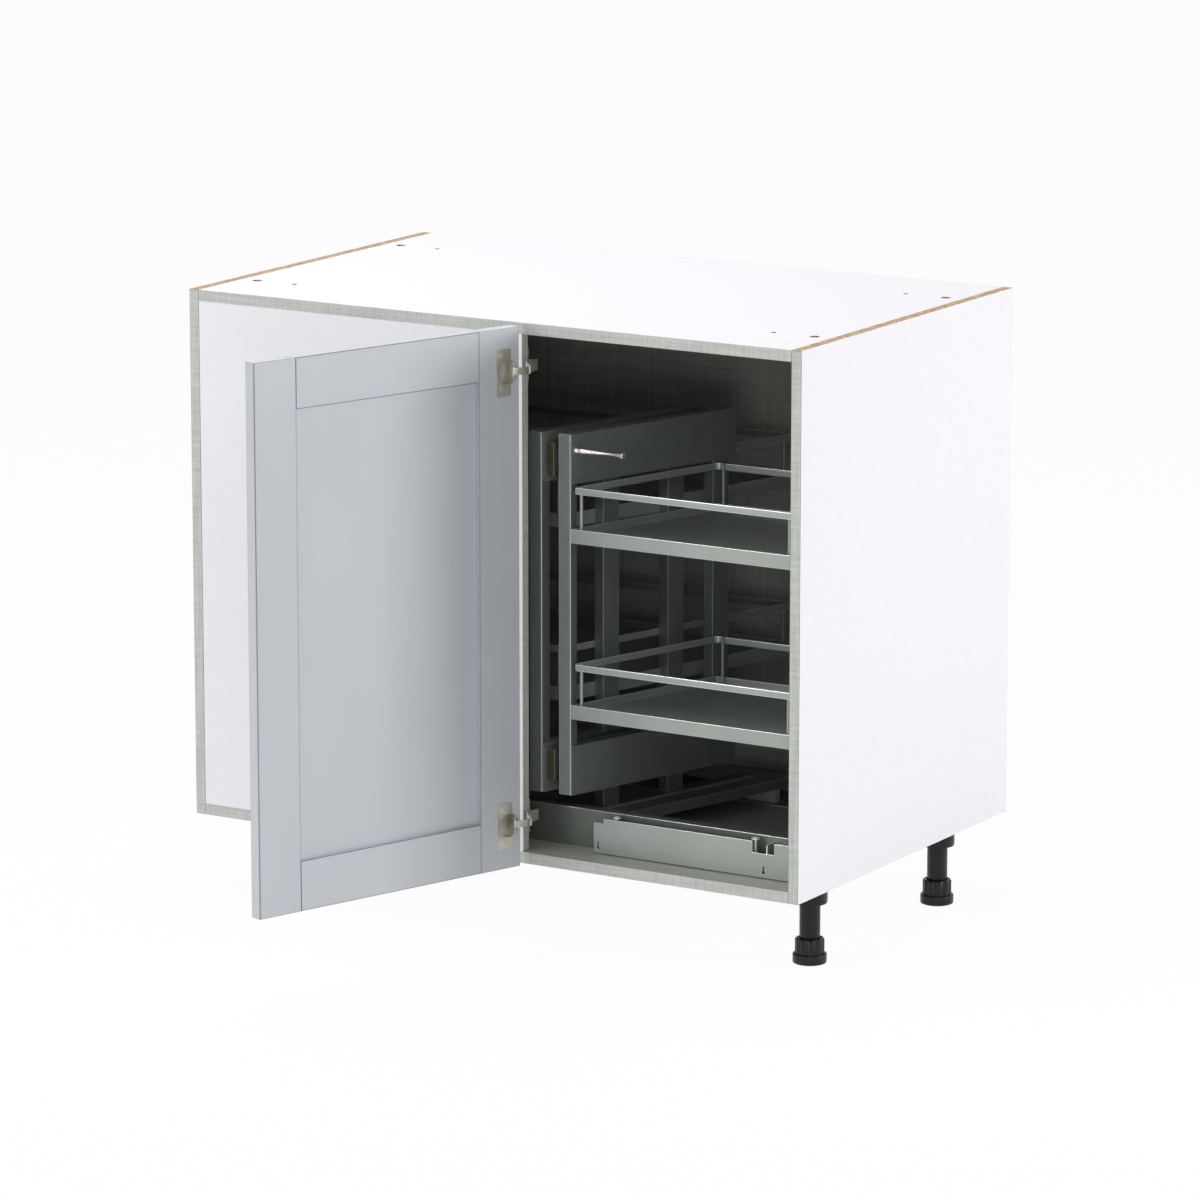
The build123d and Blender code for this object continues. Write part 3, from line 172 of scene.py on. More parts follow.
# Raw chipboard: pressed wood flakes, with the dark pores that the saw opens. The flakes are drawn
# 3 to 7 mm long, about twice their real size, so that they show
raw_chipboard = new_finish("raw_sawn_chipboard", "#B58F69", 0.85)
spot = add_node(raw_chipboard, "TexCoord").outputs["Object"]
stretch = add_node(raw_chipboard, "Mapping", {"Scale": (300, 140, 300)}, {"Vector": spot})
flakes = add_node(raw_chipboard, "TexVoronoi", {"Scale": 1.0}, {"Vector": stretch.outputs["Vector"]})
pores = levels(raw_chipboard, grain(raw_chipboard, (420, 260, 420)), 0.0, 1.0, (0.34, 0.46))
flake_tone = shades(
    raw_chipboard, flakes.outputs["Color"],
    [(0.0, "#96714C"), (0.35, "#BC9A76"), (0.7, "#D2B692"), (1.0, "#8C6743")],
)
pore_tone = shades(raw_chipboard, pores, [(0.0, "#8A6A4C"), (1.0, "#FFFFFF")])
wear(raw_chipboard, blend(raw_chipboard, "MULTIPLY", flake_tone, pore_tone, 0.8), None, pores, 0.15)


def speckle(finish, per_metre, detail, dark, light, gloss, depth):
    """One fine grain that shows in a finish's colour and relief, and in its gloss between two bounds."""
    grains = grain(finish, per_metre, detail)
    roughness = levels(finish, grains, *gloss) if gloss else None
    wear(finish, shades(finish, grains, [(0.3, dark), (0.7, light)]), roughness, grains, depth)


# Glue line: the dark seam of hot-melt glue that shows along both sides of a banded edge
glue_line = new_finish("hot_melt_glue_line", "#5C5E58", 0.6)
speckle(glue_line, (300, 300, 300), 2.0, "#50524D", "#696B65", None, 0.02)


def pick(piece):
    """Make a piece the only one chosen, so that the next operator acts on it alone."""
    bpy.ops.object.select_all(action="DESELECT")
    piece.select_set(True)
    bpy.context.view_layer.objects.active = piece


def copy_of(piece):
    """Copy a piece, mesh and all."""
    pick(piece)
    bpy.ops.object.duplicate()
    return bpy.context.object


def in_edit(piece):
    """Pick a piece and open its mesh with all of it chosen."""
    pick(piece)
    bpy.ops.object.mode_set(mode="EDIT")
    bpy.ops.mesh.select_all(action="SELECT")


def shape_modifier(piece, kind, **settings):
    """Add one modifier and apply it."""
    made = piece.modifiers.new(kind.lower(), kind)
    for name, value in settings.items():
        setattr(made, name, value)
    pick(piece)
    bpy.ops.object.modifier_apply(modifier=made.name)


def even_faces(piece):
    """Smooth the rounded edges while the broad faces stay flat."""
    in_edit(piece)
    bpy.ops.mesh.customdata_custom_splitnormals_clear()
    bpy.ops.object.mode_set(mode="OBJECT")
    bpy.ops.object.shade_smooth_by_angle(angle=radians(32))
    shape_modifier(piece, "WEIGHTED_NORMAL", keep_sharp=True)


def finished_copy(node, ease, finishes, edge_number=-1):
    """Copy a modelled piece, join its loose triangles, ease its edges and let it stand for the piece.

    Each face takes the first finish, and an eased edge the finish of the edge number."""
    source = frame["nodes"][node]
    piece = copy_of(source)
    piece.name = node + "_finished"
    del piece["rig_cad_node"]
    piece.data.materials.clear()
    for finish in finishes:
        piece.data.materials.append(finish)
    piece.data.polygons.foreach_set("material_index", [0] * len(piece.data.polygons))
    in_edit(piece)
    bpy.ops.mesh.customdata_custom_splitnormals_clear()
    bpy.ops.mesh.remove_doubles(threshold=0.000004)
    bpy.ops.mesh.dissolve_limited(angle_limit=radians(1))
    bpy.ops.object.mode_set(mode="OBJECT")
    shape_modifier(
        piece, "BEVEL", width=ease, segments=2, limit_method="ANGLE", angle_limit=radians(28),
        material=edge_number,
    )
    even_faces(piece)
    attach(piece, source["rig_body"])
    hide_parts(node)
    return piece


# The papers of a board, by number after the raw board, and its sides, each an axis and a direction
WHITE, EDGING, INSIDE, BACK_SHEET, GLUE = range(1, 6)
LEFT, RIGHT, FRONT, BACK, UNDER, OVER = (0, -1), (0, 1), (1, -1), (1, 1), (2, -1), (2, 1)

# How squarely a face looks towards its side: flat on it, or the inner or outer half of an eased edge
FLAT = 0.97
INNER_HALF = 0.7
OUTER_HALF = 0.3


def face_board(node, faced):
    """Finish a board: raw all over, then the paper of each faced side, with glue lines at edging."""
    papers = [raw_chipboard, white_melamine, linen_edge, linen_inside_shaded, linen_back, glue_line]
    piece = finished_copy(node, BOARD_EASE, papers)
    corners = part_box(node)
    for (axis, side), paper in faced.items():
        plane = corners[1][axis] if side > 0 else corners[0][axis]
        for face in piece.data.polygons:
            facing = face.normal[axis] * side
            if abs(face.center[axis] - plane) >= PAPER_REACH or facing <= OUTER_HALF:
                continue
            if paper != EDGING or facing >= FLAT:
                face.material_index = paper
            elif facing > INNER_HALF:
                face.material_index = GLUE


face_board("left_side_panel", {LEFT: WHITE, RIGHT: INSIDE, FRONT: EDGING})
face_board("right_side_panel", {RIGHT: WHITE, LEFT: INSIDE, FRONT: EDGING})
face_board("top_panel", {OVER: WHITE, UNDER: INSIDE, FRONT: EDGING})
face_board("bottom_panel", {UNDER: WHITE, OVER: INSIDE, FRONT: EDGING})
face_board("blind_panel", {RIGHT: EDGING, BACK: INSIDE, FRONT: WHITE})
face_board("back_panel", {BACK: WHITE, FRONT: BACK_SHEET})

# Carcass joints
# Zinc die-cast cams turned in 15 mm pockets draw the side panels' steel bolts tight, and beech
# dowels line the boards up. The cams sit a little below the face, in the drilled pocket.
CAM_RADIUS = 0.0073
CAM_INSET = 0.0001
CAM_HEIGHT = 0.0098
CAM_RIM = 0.0006
CAM_SUNK = 0.0026
CAM_CROSS_LENGTH = 0.0092
CAM_CROSS_WIDTH = 0.0019
CAM_CROSS_DEPTH = 0.0024
CUT_PROUD = 0.0005

# Bright zinc plate keeps a faint spangle over the fine lines of the rolled strip
zinc_plate = new_finish("bright_zinc_plated_steel", "#B9BCBB", 0.34, Metallic=1.0)
spangle = grain(zinc_plate, (260, 260, 260), 4.0, 0.6)
brushed = grain(zinc_plate, (60, 60, 1600))
wear(
    zinc_plate,
    shades(zinc_plate, spangle, [(0.3, "#A4A8A7"), (0.7, "#C9CBCA")]),
    levels(zinc_plate, brushed, 0.26, 0.44),
    brushed, 0.004,
)

# Die-cast zinc is left dull as it comes from the mould; its colour is darkened and browned as painted
# shade of the deep pocket that it sits in
cast_zinc_painted_shade = new_finish("cast_zinc_cam", "#6E655B", 0.5, Metallic=1.0)
speckle(cast_zinc_painted_shade, (1500, 1500, 1500), 3.0, "#574E45", "#857B70", None, 0.05)

# Planed beech shows fine lines along the dowel
beech = new_finish("planed_beech_dowel", "#C9A478", 0.7)
rings = grain(beech, (40, 900, 900), 4.0, 0.6)
wear(beech, shades(beech, rings, [(0.3, "#B98F62"), (0.7, "#D6B68C")]), None, rings, 0.03)


def dress(node, finish):
    """Give a piece that keeps its modelled shape its finish."""
    piece = frame["nodes"][node]
    piece.data.materials.clear()
    piece.data.materials.append(finish)


dress("cam_bolts", zinc_plate)
dress("joint_dowels", beech)


def settle(piece):
    """Close a mesh and put its place into the mesh, with the object at the origin."""
    bpy.ops.object.mode_set(mode="OBJECT")
    pick(piece)
    bpy.ops.object.transform_apply(location=True, rotation=True, scale=True)


def cut_box(piece, centre, size):
    """Mill a box out of a piece."""
    bpy.ops.mesh.primitive_cube_add(size=1.0, location=centre)
    cutter = bpy.context.object
    cutter.scale = size
    settle(cutter)
    shape_modifier(piece, "BOOLEAN", operation="DIFFERENCE", object=cutter, solver="EXACT")
    bpy.data.objects.remove(cutter)


def cam_at(x, y, face_z, up):
    """One cam: a disc with a rounded rim and a pressed cross for the screwdriver."""
    middle = (x, y, face_z - up * (CAM_SUNK + CAM_HEIGHT / 2))
    bpy.ops.mesh.primitive_cylinder_add(
        vertices=32, radius=CAM_RADIUS, depth=CAM_HEIGHT, location=middle
    )
    cam = bpy.context.object
    shape_modifier(cam, "BEVEL", width=CAM_RIM, segments=2, limit_method="ANGLE")
    cross = (x, y, face_z - up * (CAM_SUNK + CAM_CROSS_DEPTH / 2 - CUT_PROUD))
    cut_box(cam, cross, (CAM_CROSS_LENGTH, CAM_CROSS_WIDTH, CAM_CROSS_DEPTH))
    cut_box(cam, cross, (CAM_CROSS_WIDTH, CAM_CROSS_LENGTH, CAM_CROSS_DEPTH))
    settle(cam)
    return cam


def copies(piece, offsets):
    """Copy a settled piece by each offset, every copy with its own mesh."""
    made = []
    for offset in offsets:
        copy = copy_of(piece)
        copy.location = offset
        settle(copy)
        made.append(copy)
    return made


def joined(pieces, name):
    """Join like pieces into one."""
    bpy.ops.object.select_all(action="DESELECT")
    for piece in pieces:
        piece.select_set(True)
    bpy.context.view_layer.objects.active = pieces[0]
    bpy.ops.object.join()
    pieces[0].name = name
    return pieces[0]


def place_piece(piece, finish, body, node):
    """Finish a new piece, tie it to its body and let it stand for the modelled node."""
    piece.data.materials.clear()
    piece.data.materials.append(finish)
    pick(piece)
    bpy.ops.object.shade_smooth_by_angle(angle=radians(35))
    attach(piece, body)
    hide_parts(node)


cam_low, cam_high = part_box("cam_locks")
cam_x = (cam_low.x + CAM_RADIUS + CAM_INSET, cam_high.x - CAM_RADIUS - CAM_INSET)
cam_y = (cam_low.y + CAM_RADIUS + CAM_INSET, cam_high.y - CAM_RADIUS - CAM_INSET)
cams = []
for face_z, up in ((cam_high.z, 1), (cam_low.z, -1)):
    first = cam_at(cam_x[0], cam_y[0], face_z, up)
    steps = [(dx, dy, 0) for dx in (0, cam_x[1] - cam_x[0]) for dy in (0, cam_y[1] - cam_y[0])]
    cams += [first] + copies(first, steps[1:])
place_piece(joined(cams, "cam_locks_turned"), cast_zinc_painted_shade, "carcass", "cam_locks")

# Legs
# Moulded black plastic, screwed together: a socket with a round hub under the carcass and a
# smooth tube, and a foot whose faceted collar is turned by hand above its round base.
TUBE_RADIUS = 0.0145
COLLAR_RADIUS = 0.0205
COLLAR_FACETS = 10
SIDES_PER_FACET = 6
GROOVE_SHARE = 0.34
FACET_GROOVE = 0.0014
THREAD_TIP_RADIUS = 0.0085
RIM_ROUND = 0.0013

# Outlines, each point a height and a radius: the hub from the carcass, base and collar from the floor
HUB = [(-0.0300, 0.0145), (-0.0290, 0.0155), (-0.0290, 0.0238), (-0.0250, 0.0243), (0.0, 0.0243)]
BASE = [(0.0, 0.0226), (0.0012, 0.0236), (0.0135, 0.0238), (0.0135, 0.0185)]
COLLAR = [
    (0.0125, COLLAR_RADIUS), (0.0339, COLLAR_RADIUS), (0.0355, 0.0183), (0.0355, 0.0157),
    (0.0325, 0.0153), (0.0325, 0.0088),
]

# Moulded plastic has a fine spark-eroded skin, a little uneven in its black
black_plastic = new_finish("moulded_black_plastic", "#0D0D0E", 0.32, Specular_IOR_Level=0.32)
spark = grain(black_plastic, (1800, 1800, 1800))
wear(
    black_plastic,
    shades(black_plastic, grain(black_plastic, (60, 60, 60)), [(0.3, "#0B0B0C"), (0.7, "#101011")]),
    levels(black_plastic, spark, 0.28, 0.4),
    spark, 0.02,
)


def raised(outline, foot):
    """The rings of an outline that stands at a height."""
    return [(foot + height, radius) for height, radius in outline]


def turned_piece(name, centre, rings, sides):
    """Raise a round piece ring by ring: a circle is added, then extruded up and resized each time."""
    x, y = centre
    (z, radius), others = rings[0], rings[1:]
    bpy.ops.mesh.primitive_circle_add(
        vertices=sides, radius=radius, fill_type="NGON", location=(x, y, z)
    )
    piece = bpy.context.object
    piece.name = name
    in_edit(piece)
    bpy.ops.mesh.flip_normals()
    for next_z, next_radius in others:
        bpy.ops.mesh.extrude_region_move(TRANSFORM_OT_translate={"value": (0, 0, next_z - z)})
        share = next_radius / radius
        bpy.ops.transform.resize(value=(share, share, 1), center_override=(x, y, next_z))
        z, radius = next_z, next_radius
    bpy.ops.mesh.select_all(action="SELECT")
    bpy.ops.mesh.normals_make_consistent(inside=False)
    settle(piece)
    return piece


def round_rims(piece):
    """Round the rims that the mould leaves round."""
    shape_modifier(
        piece, "BEVEL", width=RIM_ROUND, segments=3, limit_method="ANGLE", angle_limit=radians(40)
    )


sides = ("front_left", "front_right", "back_left", "back_right")
foot_boxes = {side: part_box("leg_foot_" + side) for side in sides}
foot_middles = {side: (low + high) / 2 for side, (low, high) in foot_boxes.items()}
tube_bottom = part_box("leg_sockets")[0].z
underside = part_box("bottom_panel")[0].z
first = foot_middles["front_left"]
rings = [(tube_bottom, TUBE_RADIUS)] + raised(HUB, underside)
socket = turned_piece("leg_socket", (first.x, first.y), rings, 48)
round_rims(socket)
others = [foot_middles[side] - first for side in sides[1:]]
sockets = [socket] + copies(socket, [(step.x, step.y, 0) for step in others])
sockets = joined(sockets, "leg_sockets_moulded")
place_piece(sockets, black_plastic, "carcass", "leg_sockets")

for side, middle in foot_middles.items():
    low, high = foot_boxes[side]
    base = turned_piece("foot_base", (middle.x, middle.y), raised(BASE, low.z), 48)
    round_rims(base)
    rings = raised(COLLAR, low.z) + [(high.z, THREAD_TIP_RADIUS)]
    collar = turned_piece("foot_collar", (middle.x, middle.y), rings, SIDES_PER_FACET * COLLAR_FACETS)
    for vertex in collar.data.vertices:
        away = Vector((vertex.co.x - middle.x, vertex.co.y - middle.y, 0))
        turn = away.to_2d().angle_signed(Vector((1, 0))) * COLLAR_FACETS / pi % 2
        on_wall = away.length > COLLAR_RADIUS - FACET_GROOVE
        if on_wall and min(turn, 2 - turn) < GROOVE_SHARE:
            vertex.co -= away.normalized() * FACET_GROOVE
    foot = joined([base, collar], "leg_foot_" + side + "_moulded")
    place_piece(foot, black_plastic, "foot_" + side, "leg_foot_" + side)

# Door
# Five pieces, machined from board and sprayed a pale blue-grey: two stiles over the full height,
# two rails between them, and a flat panel held in their grooves. The joints show as fine lines of painted
# shade.
DOOR_EASE = 0.0007

# Sprayed lacquer dries to a satin gloss, with the faint ripple that painters call orange peel
door_lacquer = new_finish(
    "sprayed_satin_lacquer", "#C2C6CC", 0.33,
    Specular_IOR_Level=0.7, Coat_Weight=0.3, Coat_Roughness=0.28,
)
peel = grain(door_lacquer, (420, 420, 420))
drift = grain(door_lacquer, (5, 5, 3))
wear(
    door_lacquer,
    shades(door_lacquer, drift, [(0.35, "#C0C4CA"), (0.65, "#C5C9CF")]),
    levels(door_lacquer, peel, 0.32, 0.42),
    peel, 0.012,
)
# Painted shade: the eased edges of the door's pieces take a darker grey, so that the joints and grooves
# show as fine dark lines
door_arris_shade = new_finish("primer_along_arris", "#858A90", 0.45)
speckle(door_arris_shade, (300, 300, 300), 2.0, "#7E8389", "#8C9197", (0.4, 0.55), 0.01)
for part in ("hinge_stile", "free_stile", "bottom_rail", "top_rail", "centre_panel"):
    finished_copy("door_" + part, DOOR_EASE, [door_lacquer, door_arris_shade], 1)

# Hinges
# Pressed and nickel-plated steel: a 35 mm cup with its fixing plate let into the door, a cranked
# link on two pins, and an arm on a plate that is screwed behind the blind panel.
HINGE_EASE = 0.0005
PIN_EASE = 0.00025
ARM_HALF_HEIGHT = 0.0084
PLATE_TRIM = 0.018
TRIM_GAP = 0.0002

# Satin nickel is warm, and its colour is mottled with a cloud of painted reflection
nickel_plate = new_finish("satin_nickel_plate", "#BDBAAE", 0.4, Metallic=0.75)
haze = grain(nickel_plate, (500, 500, 500), 3.0)
nickel_reflection_cloud = grain(nickel_plate, (36, 36, 36), 0.0)
wear(
    nickel_plate,
    shades(nickel_plate, nickel_reflection_cloud, [(0.38, "#B1AEA2"), (0.5, "#BDBAAE"), (0.62, "#CDCAC0")]),
    levels(nickel_plate, haze, 0.36, 0.46),
    haze, 0.004,
)
# Painted highlight: the eased edges take a near-white nickel, so that they show as bright lines
nickel_edge_highlight = new_finish("burnished_nickel_edge", "#F0EEE8", 0.2, Metallic=0.8)
speckle(nickel_edge_highlight, (700, 700, 700), 2.0, "#E6E3DB", "#F6F4F0", (0.2, 0.3), 0.004)
nickel = [nickel_plate, nickel_edge_highlight]

# Above and below its arm, the bracket's plate ends at the blind panel's edge
blind_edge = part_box("blind_panel")[1]
for level in ("lower", "upper"):
    finished_copy("hinge_link_" + level, HINGE_EASE, nickel, 1)
    finished_copy("hinge_cup_" + level, HINGE_EASE, nickel, 1)
    bracket = finished_copy("hinge_bracket_" + level, HINGE_EASE, nickel, 1)
    low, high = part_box("hinge_bracket_" + level)
    for side in (-1, 1):
        middle = (low.z + high.z) / 2 + side * (ARM_HALF_HEIGHT + PLATE_TRIM / 2)
        corner = (blind_edge.x + PLATE_TRIM / 2 + TRIM_GAP, blind_edge.y, middle)
        cut_box(bracket, corner, (PLATE_TRIM, PLATE_TRIM, PLATE_TRIM))
    even_faces(bracket)
finished_copy("hinge_arm_pins", PIN_EASE, [zinc_plate])
finished_copy("hinge_cup_pins", PIN_EASE, [zinc_plate])
finished_copy("hinge_bracket_screws", PIN_EASE, nickel, 1)
finished_copy("hinge_cup_screws", PIN_EASE, nickel, 1)

# Floor base of the corner fitting
# Folded 1.5 mm steel, sprayed silver-grey: a lipped channel and a low rear angle screwed to the
# floor, and a notched front cover hung on them, with two zinc-plated adjusting studs behind it.
FOLD_EASE = 0.0005
CUT_EDGE_WIDTH = 0.0022
COVER_GAP = 0.0016
COVER_CUT_LENGTH = 1.0
COVER_CUT_DEPTH = 0.06
STUD_SHANK_RADIUS = 0.0025
STUD_HEAD_RADIUS = 0.0060

# Outline of a stud's head, each point a height from its top and a radius
STUD_HEAD = [
    (-0.0031, STUD_SHANK_RADIUS), (-0.0031, 0.0057), (-0.0022, STUD_HEAD_RADIUS), (-0.0012, 0.0054),
    (-0.0004, 0.0041), (0.0, 0.0016), (-0.0008, 0.0013),
]

# Stoved lacquer with fine metal flake
silver_lacquer = new_finish("silver_grey_stoved_lacquer", "#9CA39D", 0.4, Metallic=0.4)
flake = grain(silver_lacquer, (2600, 2600, 2600))
drift = grain(silver_lacquer, (18, 18, 18))
drift_tone = shades(silver_lacquer, drift, [(0.35, "#99A09A"), (0.65, "#A0A7A1")])
flake_tone = shades(silver_lacquer, flake, [(0.35, "#8E958F"), (0.65, "#ADB4AE")])
wear(
    silver_lacquer, blend(silver_lacquer, "MIX", drift_tone, flake_tone, 0.35),
    levels(silver_lacquer, flake, 0.33, 0.47), flake, 0.008,
)
# Painted highlight: cut, folded and eased edges take a near-white glossy lacquer, so that they show as
# bright lines
lacquer_edge_highlight = new_finish("thin_lacquer_on_cut_edge", "#F0F3EF", 0.24, Metallic=0.6)
speckle(lacquer_edge_highlight, (500, 500, 500), 2.0, "#E4E8E3", "#F6F8F5", (0.2, 0.3), 0.004)
silver = [silver_lacquer, lacquer_edge_highlight]
# Painted shade: the channel and the rear angle, behind the cover, take a darker coat than the cover that
# closes them
channel_shade_lacquer = new_finish("dark_grey_stoved_lacquer", "#70766F", 0.4, Metallic=0.4)
speck = grain(channel_shade_lacquer, (2600, 2600, 2600))
wear(
    channel_shade_lacquer, shades(channel_shade_lacquer, speck, [(0.35, "#666C66"), (0.65, "#7A8079")]),
    levels(channel_shade_lacquer, speck, 0.34, 0.48), speck, 0.008,
)


def narrow_faces(piece, widest, number):
    """Give another finish to the faces narrower than a width, such as the cut edges of a sheet."""
    for face in piece.data.polygons:
        corners = [piece.data.vertices[index].co for index in face.vertices]
        spans = sorted(max(c[axis] for c in corners) - min(c[axis] for c in corners) for axis in range(3))
        if spans[1] < widest:
            face.material_index = number


# The folded pieces' eased edges and narrow cut edges take the painted highlight
for node in ("floor_channel", "floor_rear_rail"):
    folded = finished_copy(node, FOLD_EASE, [channel_shade_lacquer, lacquer_edge_highlight], 1)
    narrow_faces(folded, CUT_EDGE_WIDTH, 1)

# The cover hangs just clear of the floor
cover = finished_copy("floor_cover", FOLD_EASE, silver, 1)
low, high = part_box("floor_cover")
foot = ((low.x + high.x) / 2, (low.y + high.y) / 2, low.z)
cut_box(cover, foot, (COVER_CUT_LENGTH, COVER_CUT_DEPTH, 2 * COVER_GAP))
even_faces(cover)
narrow_faces(cover, CUT_EDGE_WIDTH, 1)
finished_copy("floor_screws", FOLD_EASE, [zinc_plate])

# Passivated zinc is paler and duller than the slides' bright plate
stud_zinc = new_finish("pale_passivated_zinc", "#DCE3DB", 0.32, Metallic=0.4)
speckle(stud_zinc, (700, 700, 700), 2.0, "#CFD7CE", "#E6ECE5", (0.28, 0.4), 0.006)
stud_low, stud_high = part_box("floor_cover_studs")
stud_y = (stud_low.y + stud_high.y) / 2
rings = [(stud_low.z, STUD_SHANK_RADIUS)] + raised(STUD_HEAD, stud_high.z)
studs = []
for stud_x in (stud_low.x + STUD_HEAD_RADIUS, stud_high.x - STUD_HEAD_RADIUS):
    studs.append(turned_piece("cover_stud", (stud_x, stud_y), rings, 32))
place_piece(joined(studs, "cover_studs_turned"), stud_zinc, "carcass", "floor_cover_studs")

# Slides
# Full-extension telescopic slides of cold-rolled, zinc-plated steel: a fixed, a middle and a
# moving member, each lipped round the next. An olive plastic stop caps the moving one's front.
SLIDE_EASE = 0.0003
BUFFER_EASE = 0.0006

for member in ("outer", "middle", "inner"):
    finished_copy("slide_" + member + "_members", SLIDE_EASE, [zinc_plate])
# The stops' olive plastic lets a little light through
buffer_plastic = new_finish(
    "olive_translucent_stop", "#4C4E38", 0.3, Transmission_Weight=0.2, IOR=1.5
)
speckle(buffer_plastic, (300, 300, 300), 3.0, "#434531", "#575942", (0.28, 0.45), 0.02)
# Light runs along the moulding's rounded edges, so they show paler than its faces
buffer_rim = new_finish("olive_stop_moulded_rim", "#A6A98B", 0.3)
speckle(buffer_rim, (500, 500, 500), 2.0, "#9A9D7F", "#B2B598", None, 0.01)
finished_copy("slide_buffers", BUFFER_EASE, [buffer_plastic, buffer_rim], 1)
finished_copy("slide_brackets", SLIDE_EASE, silver, 1)

# Upright frames and carriage
# Square steel posts joined by folded bands with a pressed crease, welded and sprayed in a darker
# grey-green. The rear frame stands on a folded carriage that runs on nylon glides.
POST_EASE = 0.0012
BAND_EASE = 0.0007
GLIDE_EASE = 0.0010

# The frames' lacquer is darker and greener than that of the floor base
frame_lacquer = new_finish("grey_green_stoved_lacquer", "#7A807B", 0.4, Metallic=0.4)
flake = grain(frame_lacquer, (2600, 2600, 2600))
drift = grain(frame_lacquer, (18, 18, 18))
drift_tone = shades(frame_lacquer, drift, [(0.35, "#767C77"), (0.65, "#7D837E")])
flake_tone = shades(frame_lacquer, flake, [(0.35, "#6C726D"), (0.65, "#888E89")])
wear(
    frame_lacquer, blend(frame_lacquer, "MIX", drift_tone, flake_tone, 0.35),
    levels(frame_lacquer, flake, 0.35, 0.5), flake, 0.008,
)
# Painted highlight: the eased corners of the tubes and bands take a paler lacquer, so that they show as
# bright lines
tube_corner_highlight = new_finish("thin_lacquer_on_tube_corner", "#B4BBB4", 0.3, Metallic=0.5)
speckle(tube_corner_highlight, (500, 500, 500), 2.0, "#A9B0A9", "#BFC5BF", (0.26, 0.36), 0.004)
for node in ("front_frame_post", "front_rear_upright", "rear_frame_post", "rear_carriage_posts"):
    finished_copy(node, POST_EASE, [frame_lacquer, tube_corner_highlight], 1)
bands = ("front_upper_band", "front_lower_band", "rear_upper_band", "rear_lower_band")
for node in (*bands, "rear_carriage"):
    finished_copy(node, BAND_EASE, [frame_lacquer, tube_corner_highlight], 1)

# Natural nylon, milled along its run, lets a little light in
nylon = new_finish("natural_nylon_glide", "#DAD9D2", 0.45, Subsurface_Weight=0.1, Subsurface_Scale=0.004)
speckle(nylon, (700, 90, 700), 2.0, "#D0CFC7", "#E2E1DB", (0.4, 0.55), 0.02)
finished_copy("rear_carriage_glides", GLIDE_EASE, [nylon])

# Handle rod
# One turned and chromed rod riveted to the front post: a bulb and a collar at its root, a long
# taper to a thin waist, and a flared end that the fingers pull.
# Outline of the rod, each point a distance from the post and a radius
ROD = [
    (0.0, 0.0034), (0.0010, 0.0039), (0.0036, 0.0042), (0.0062, 0.0039), (0.0074, 0.0030),
    (0.0082, 0.0027), (0.0090, 0.0034), (0.0098, 0.0042), (0.0160, 0.0043), (0.0174, 0.0039),
    (0.0280, 0.0033), (0.0420, 0.0025), (0.0580, 0.0018), (0.0670, 0.0024), (0.0730, 0.0034),
    (0.0774, 0.0048), (0.0792, 0.0050), (0.0800, 0.0044), (0.0800, 0.0012),
]

# Chrome over polished steel mirrors the dark doorway, with faint smears from hands
chrome_plate = new_finish("polished_chrome", "#E4DCDA", 0.16, Metallic=0.9)
speckle(chrome_plate, (150, 500, 500), 3.0, "#DBD2D0", "#EDE7E5", (0.16, 0.26), 0.003)
rod_low, rod_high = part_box("front_handle_rod")
rod = turned_piece("handle_rod", (0, 0), ROD, 32)
rod.rotation_euler = (0, radians(90), 0)
rod.location = (rod_low.x, (rod_low.y + rod_high.y) / 2, (rod_low.z + rod_high.z) / 2)
settle(rod)
place_piece(rod, chrome_plate, "front_unit", "front_handle_rod")

# Trays and railings
# Pressed steel trays with an upright rim, and round each a flat bar bent at its corners and
# standing on four turned pins. All of it is sprayed in the same silver-grey lacquer.
TRAY_EASE = 0.0007
BAR_EASE = 0.0008

# Outlines of a pin, each point a height and a radius: its foot up from the tray, and its head with
# the rivet that holds the bar, up from the bar's underside
PIN_FOOT = [(0.0, 0.0030), (0.0022, 0.0030), (0.0030, 0.0024)]
PIN_HEAD = [
    (-0.0018, 0.0024), (-0.0010, 0.0030), (0.0, 0.0030), (0.0, 0.0012), (0.0095, 0.0012),
    (0.0095, 0.0024), (0.0101, 0.0021), (0.0107, 0.0010),
]

# Points of the modelled pins that are this near each other, in plan and in height, are one pin's
PIN_SPREAD = 0.012
PIN_REACH = 0.1


def pin_places(node):
    """Plan place, foot and head of each pin of a node, read from the modelled solids."""
    pins = []
    for vertex in frame["nodes"][node].data.vertices:
        point = vertex.co
        for pin in pins:
            apart = [abs(point[axis] - pin[0][axis]) for axis in range(3)]
            if max(apart[:2]) < PIN_SPREAD and apart[2] < PIN_REACH:
                pin.append(point)
                break
        else:
            pins.append([point])
    places = []
    for pin in pins:
        low = [min(point[axis] for point in pin) for axis in range(3)]
        high = [max(point[axis] for point in pin) for axis in range(3)]
        places.append(((low[0] + high[0]) / 2, (low[1] + high[1]) / 2, low[2], high[2]))
    return places


for unit in ("front", "rear"):
    for level in ("lower", "upper"):
        tray = finished_copy(unit + "_tray_" + level, TRAY_EASE, silver, 1)
        narrow_faces(tray, CUT_EDGE_WIDTH, 1)
        finished_copy(unit + "_railing_" + level, BAR_EASE, silver, 1)
    pins = []
    for x, y, foot_z, head_z in pin_places(unit + "_railing_pins"):
        rings = raised(PIN_FOOT, foot_z) + raised(PIN_HEAD, head_z)
        pins.append(turned_piece("railing_pin", (x, y), rings, 24))
    pins = joined(pins, unit + "_railing_pins_turned")
    place_piece(pins, silver_lacquer, unit + "_unit", unit + "_railing_pins")

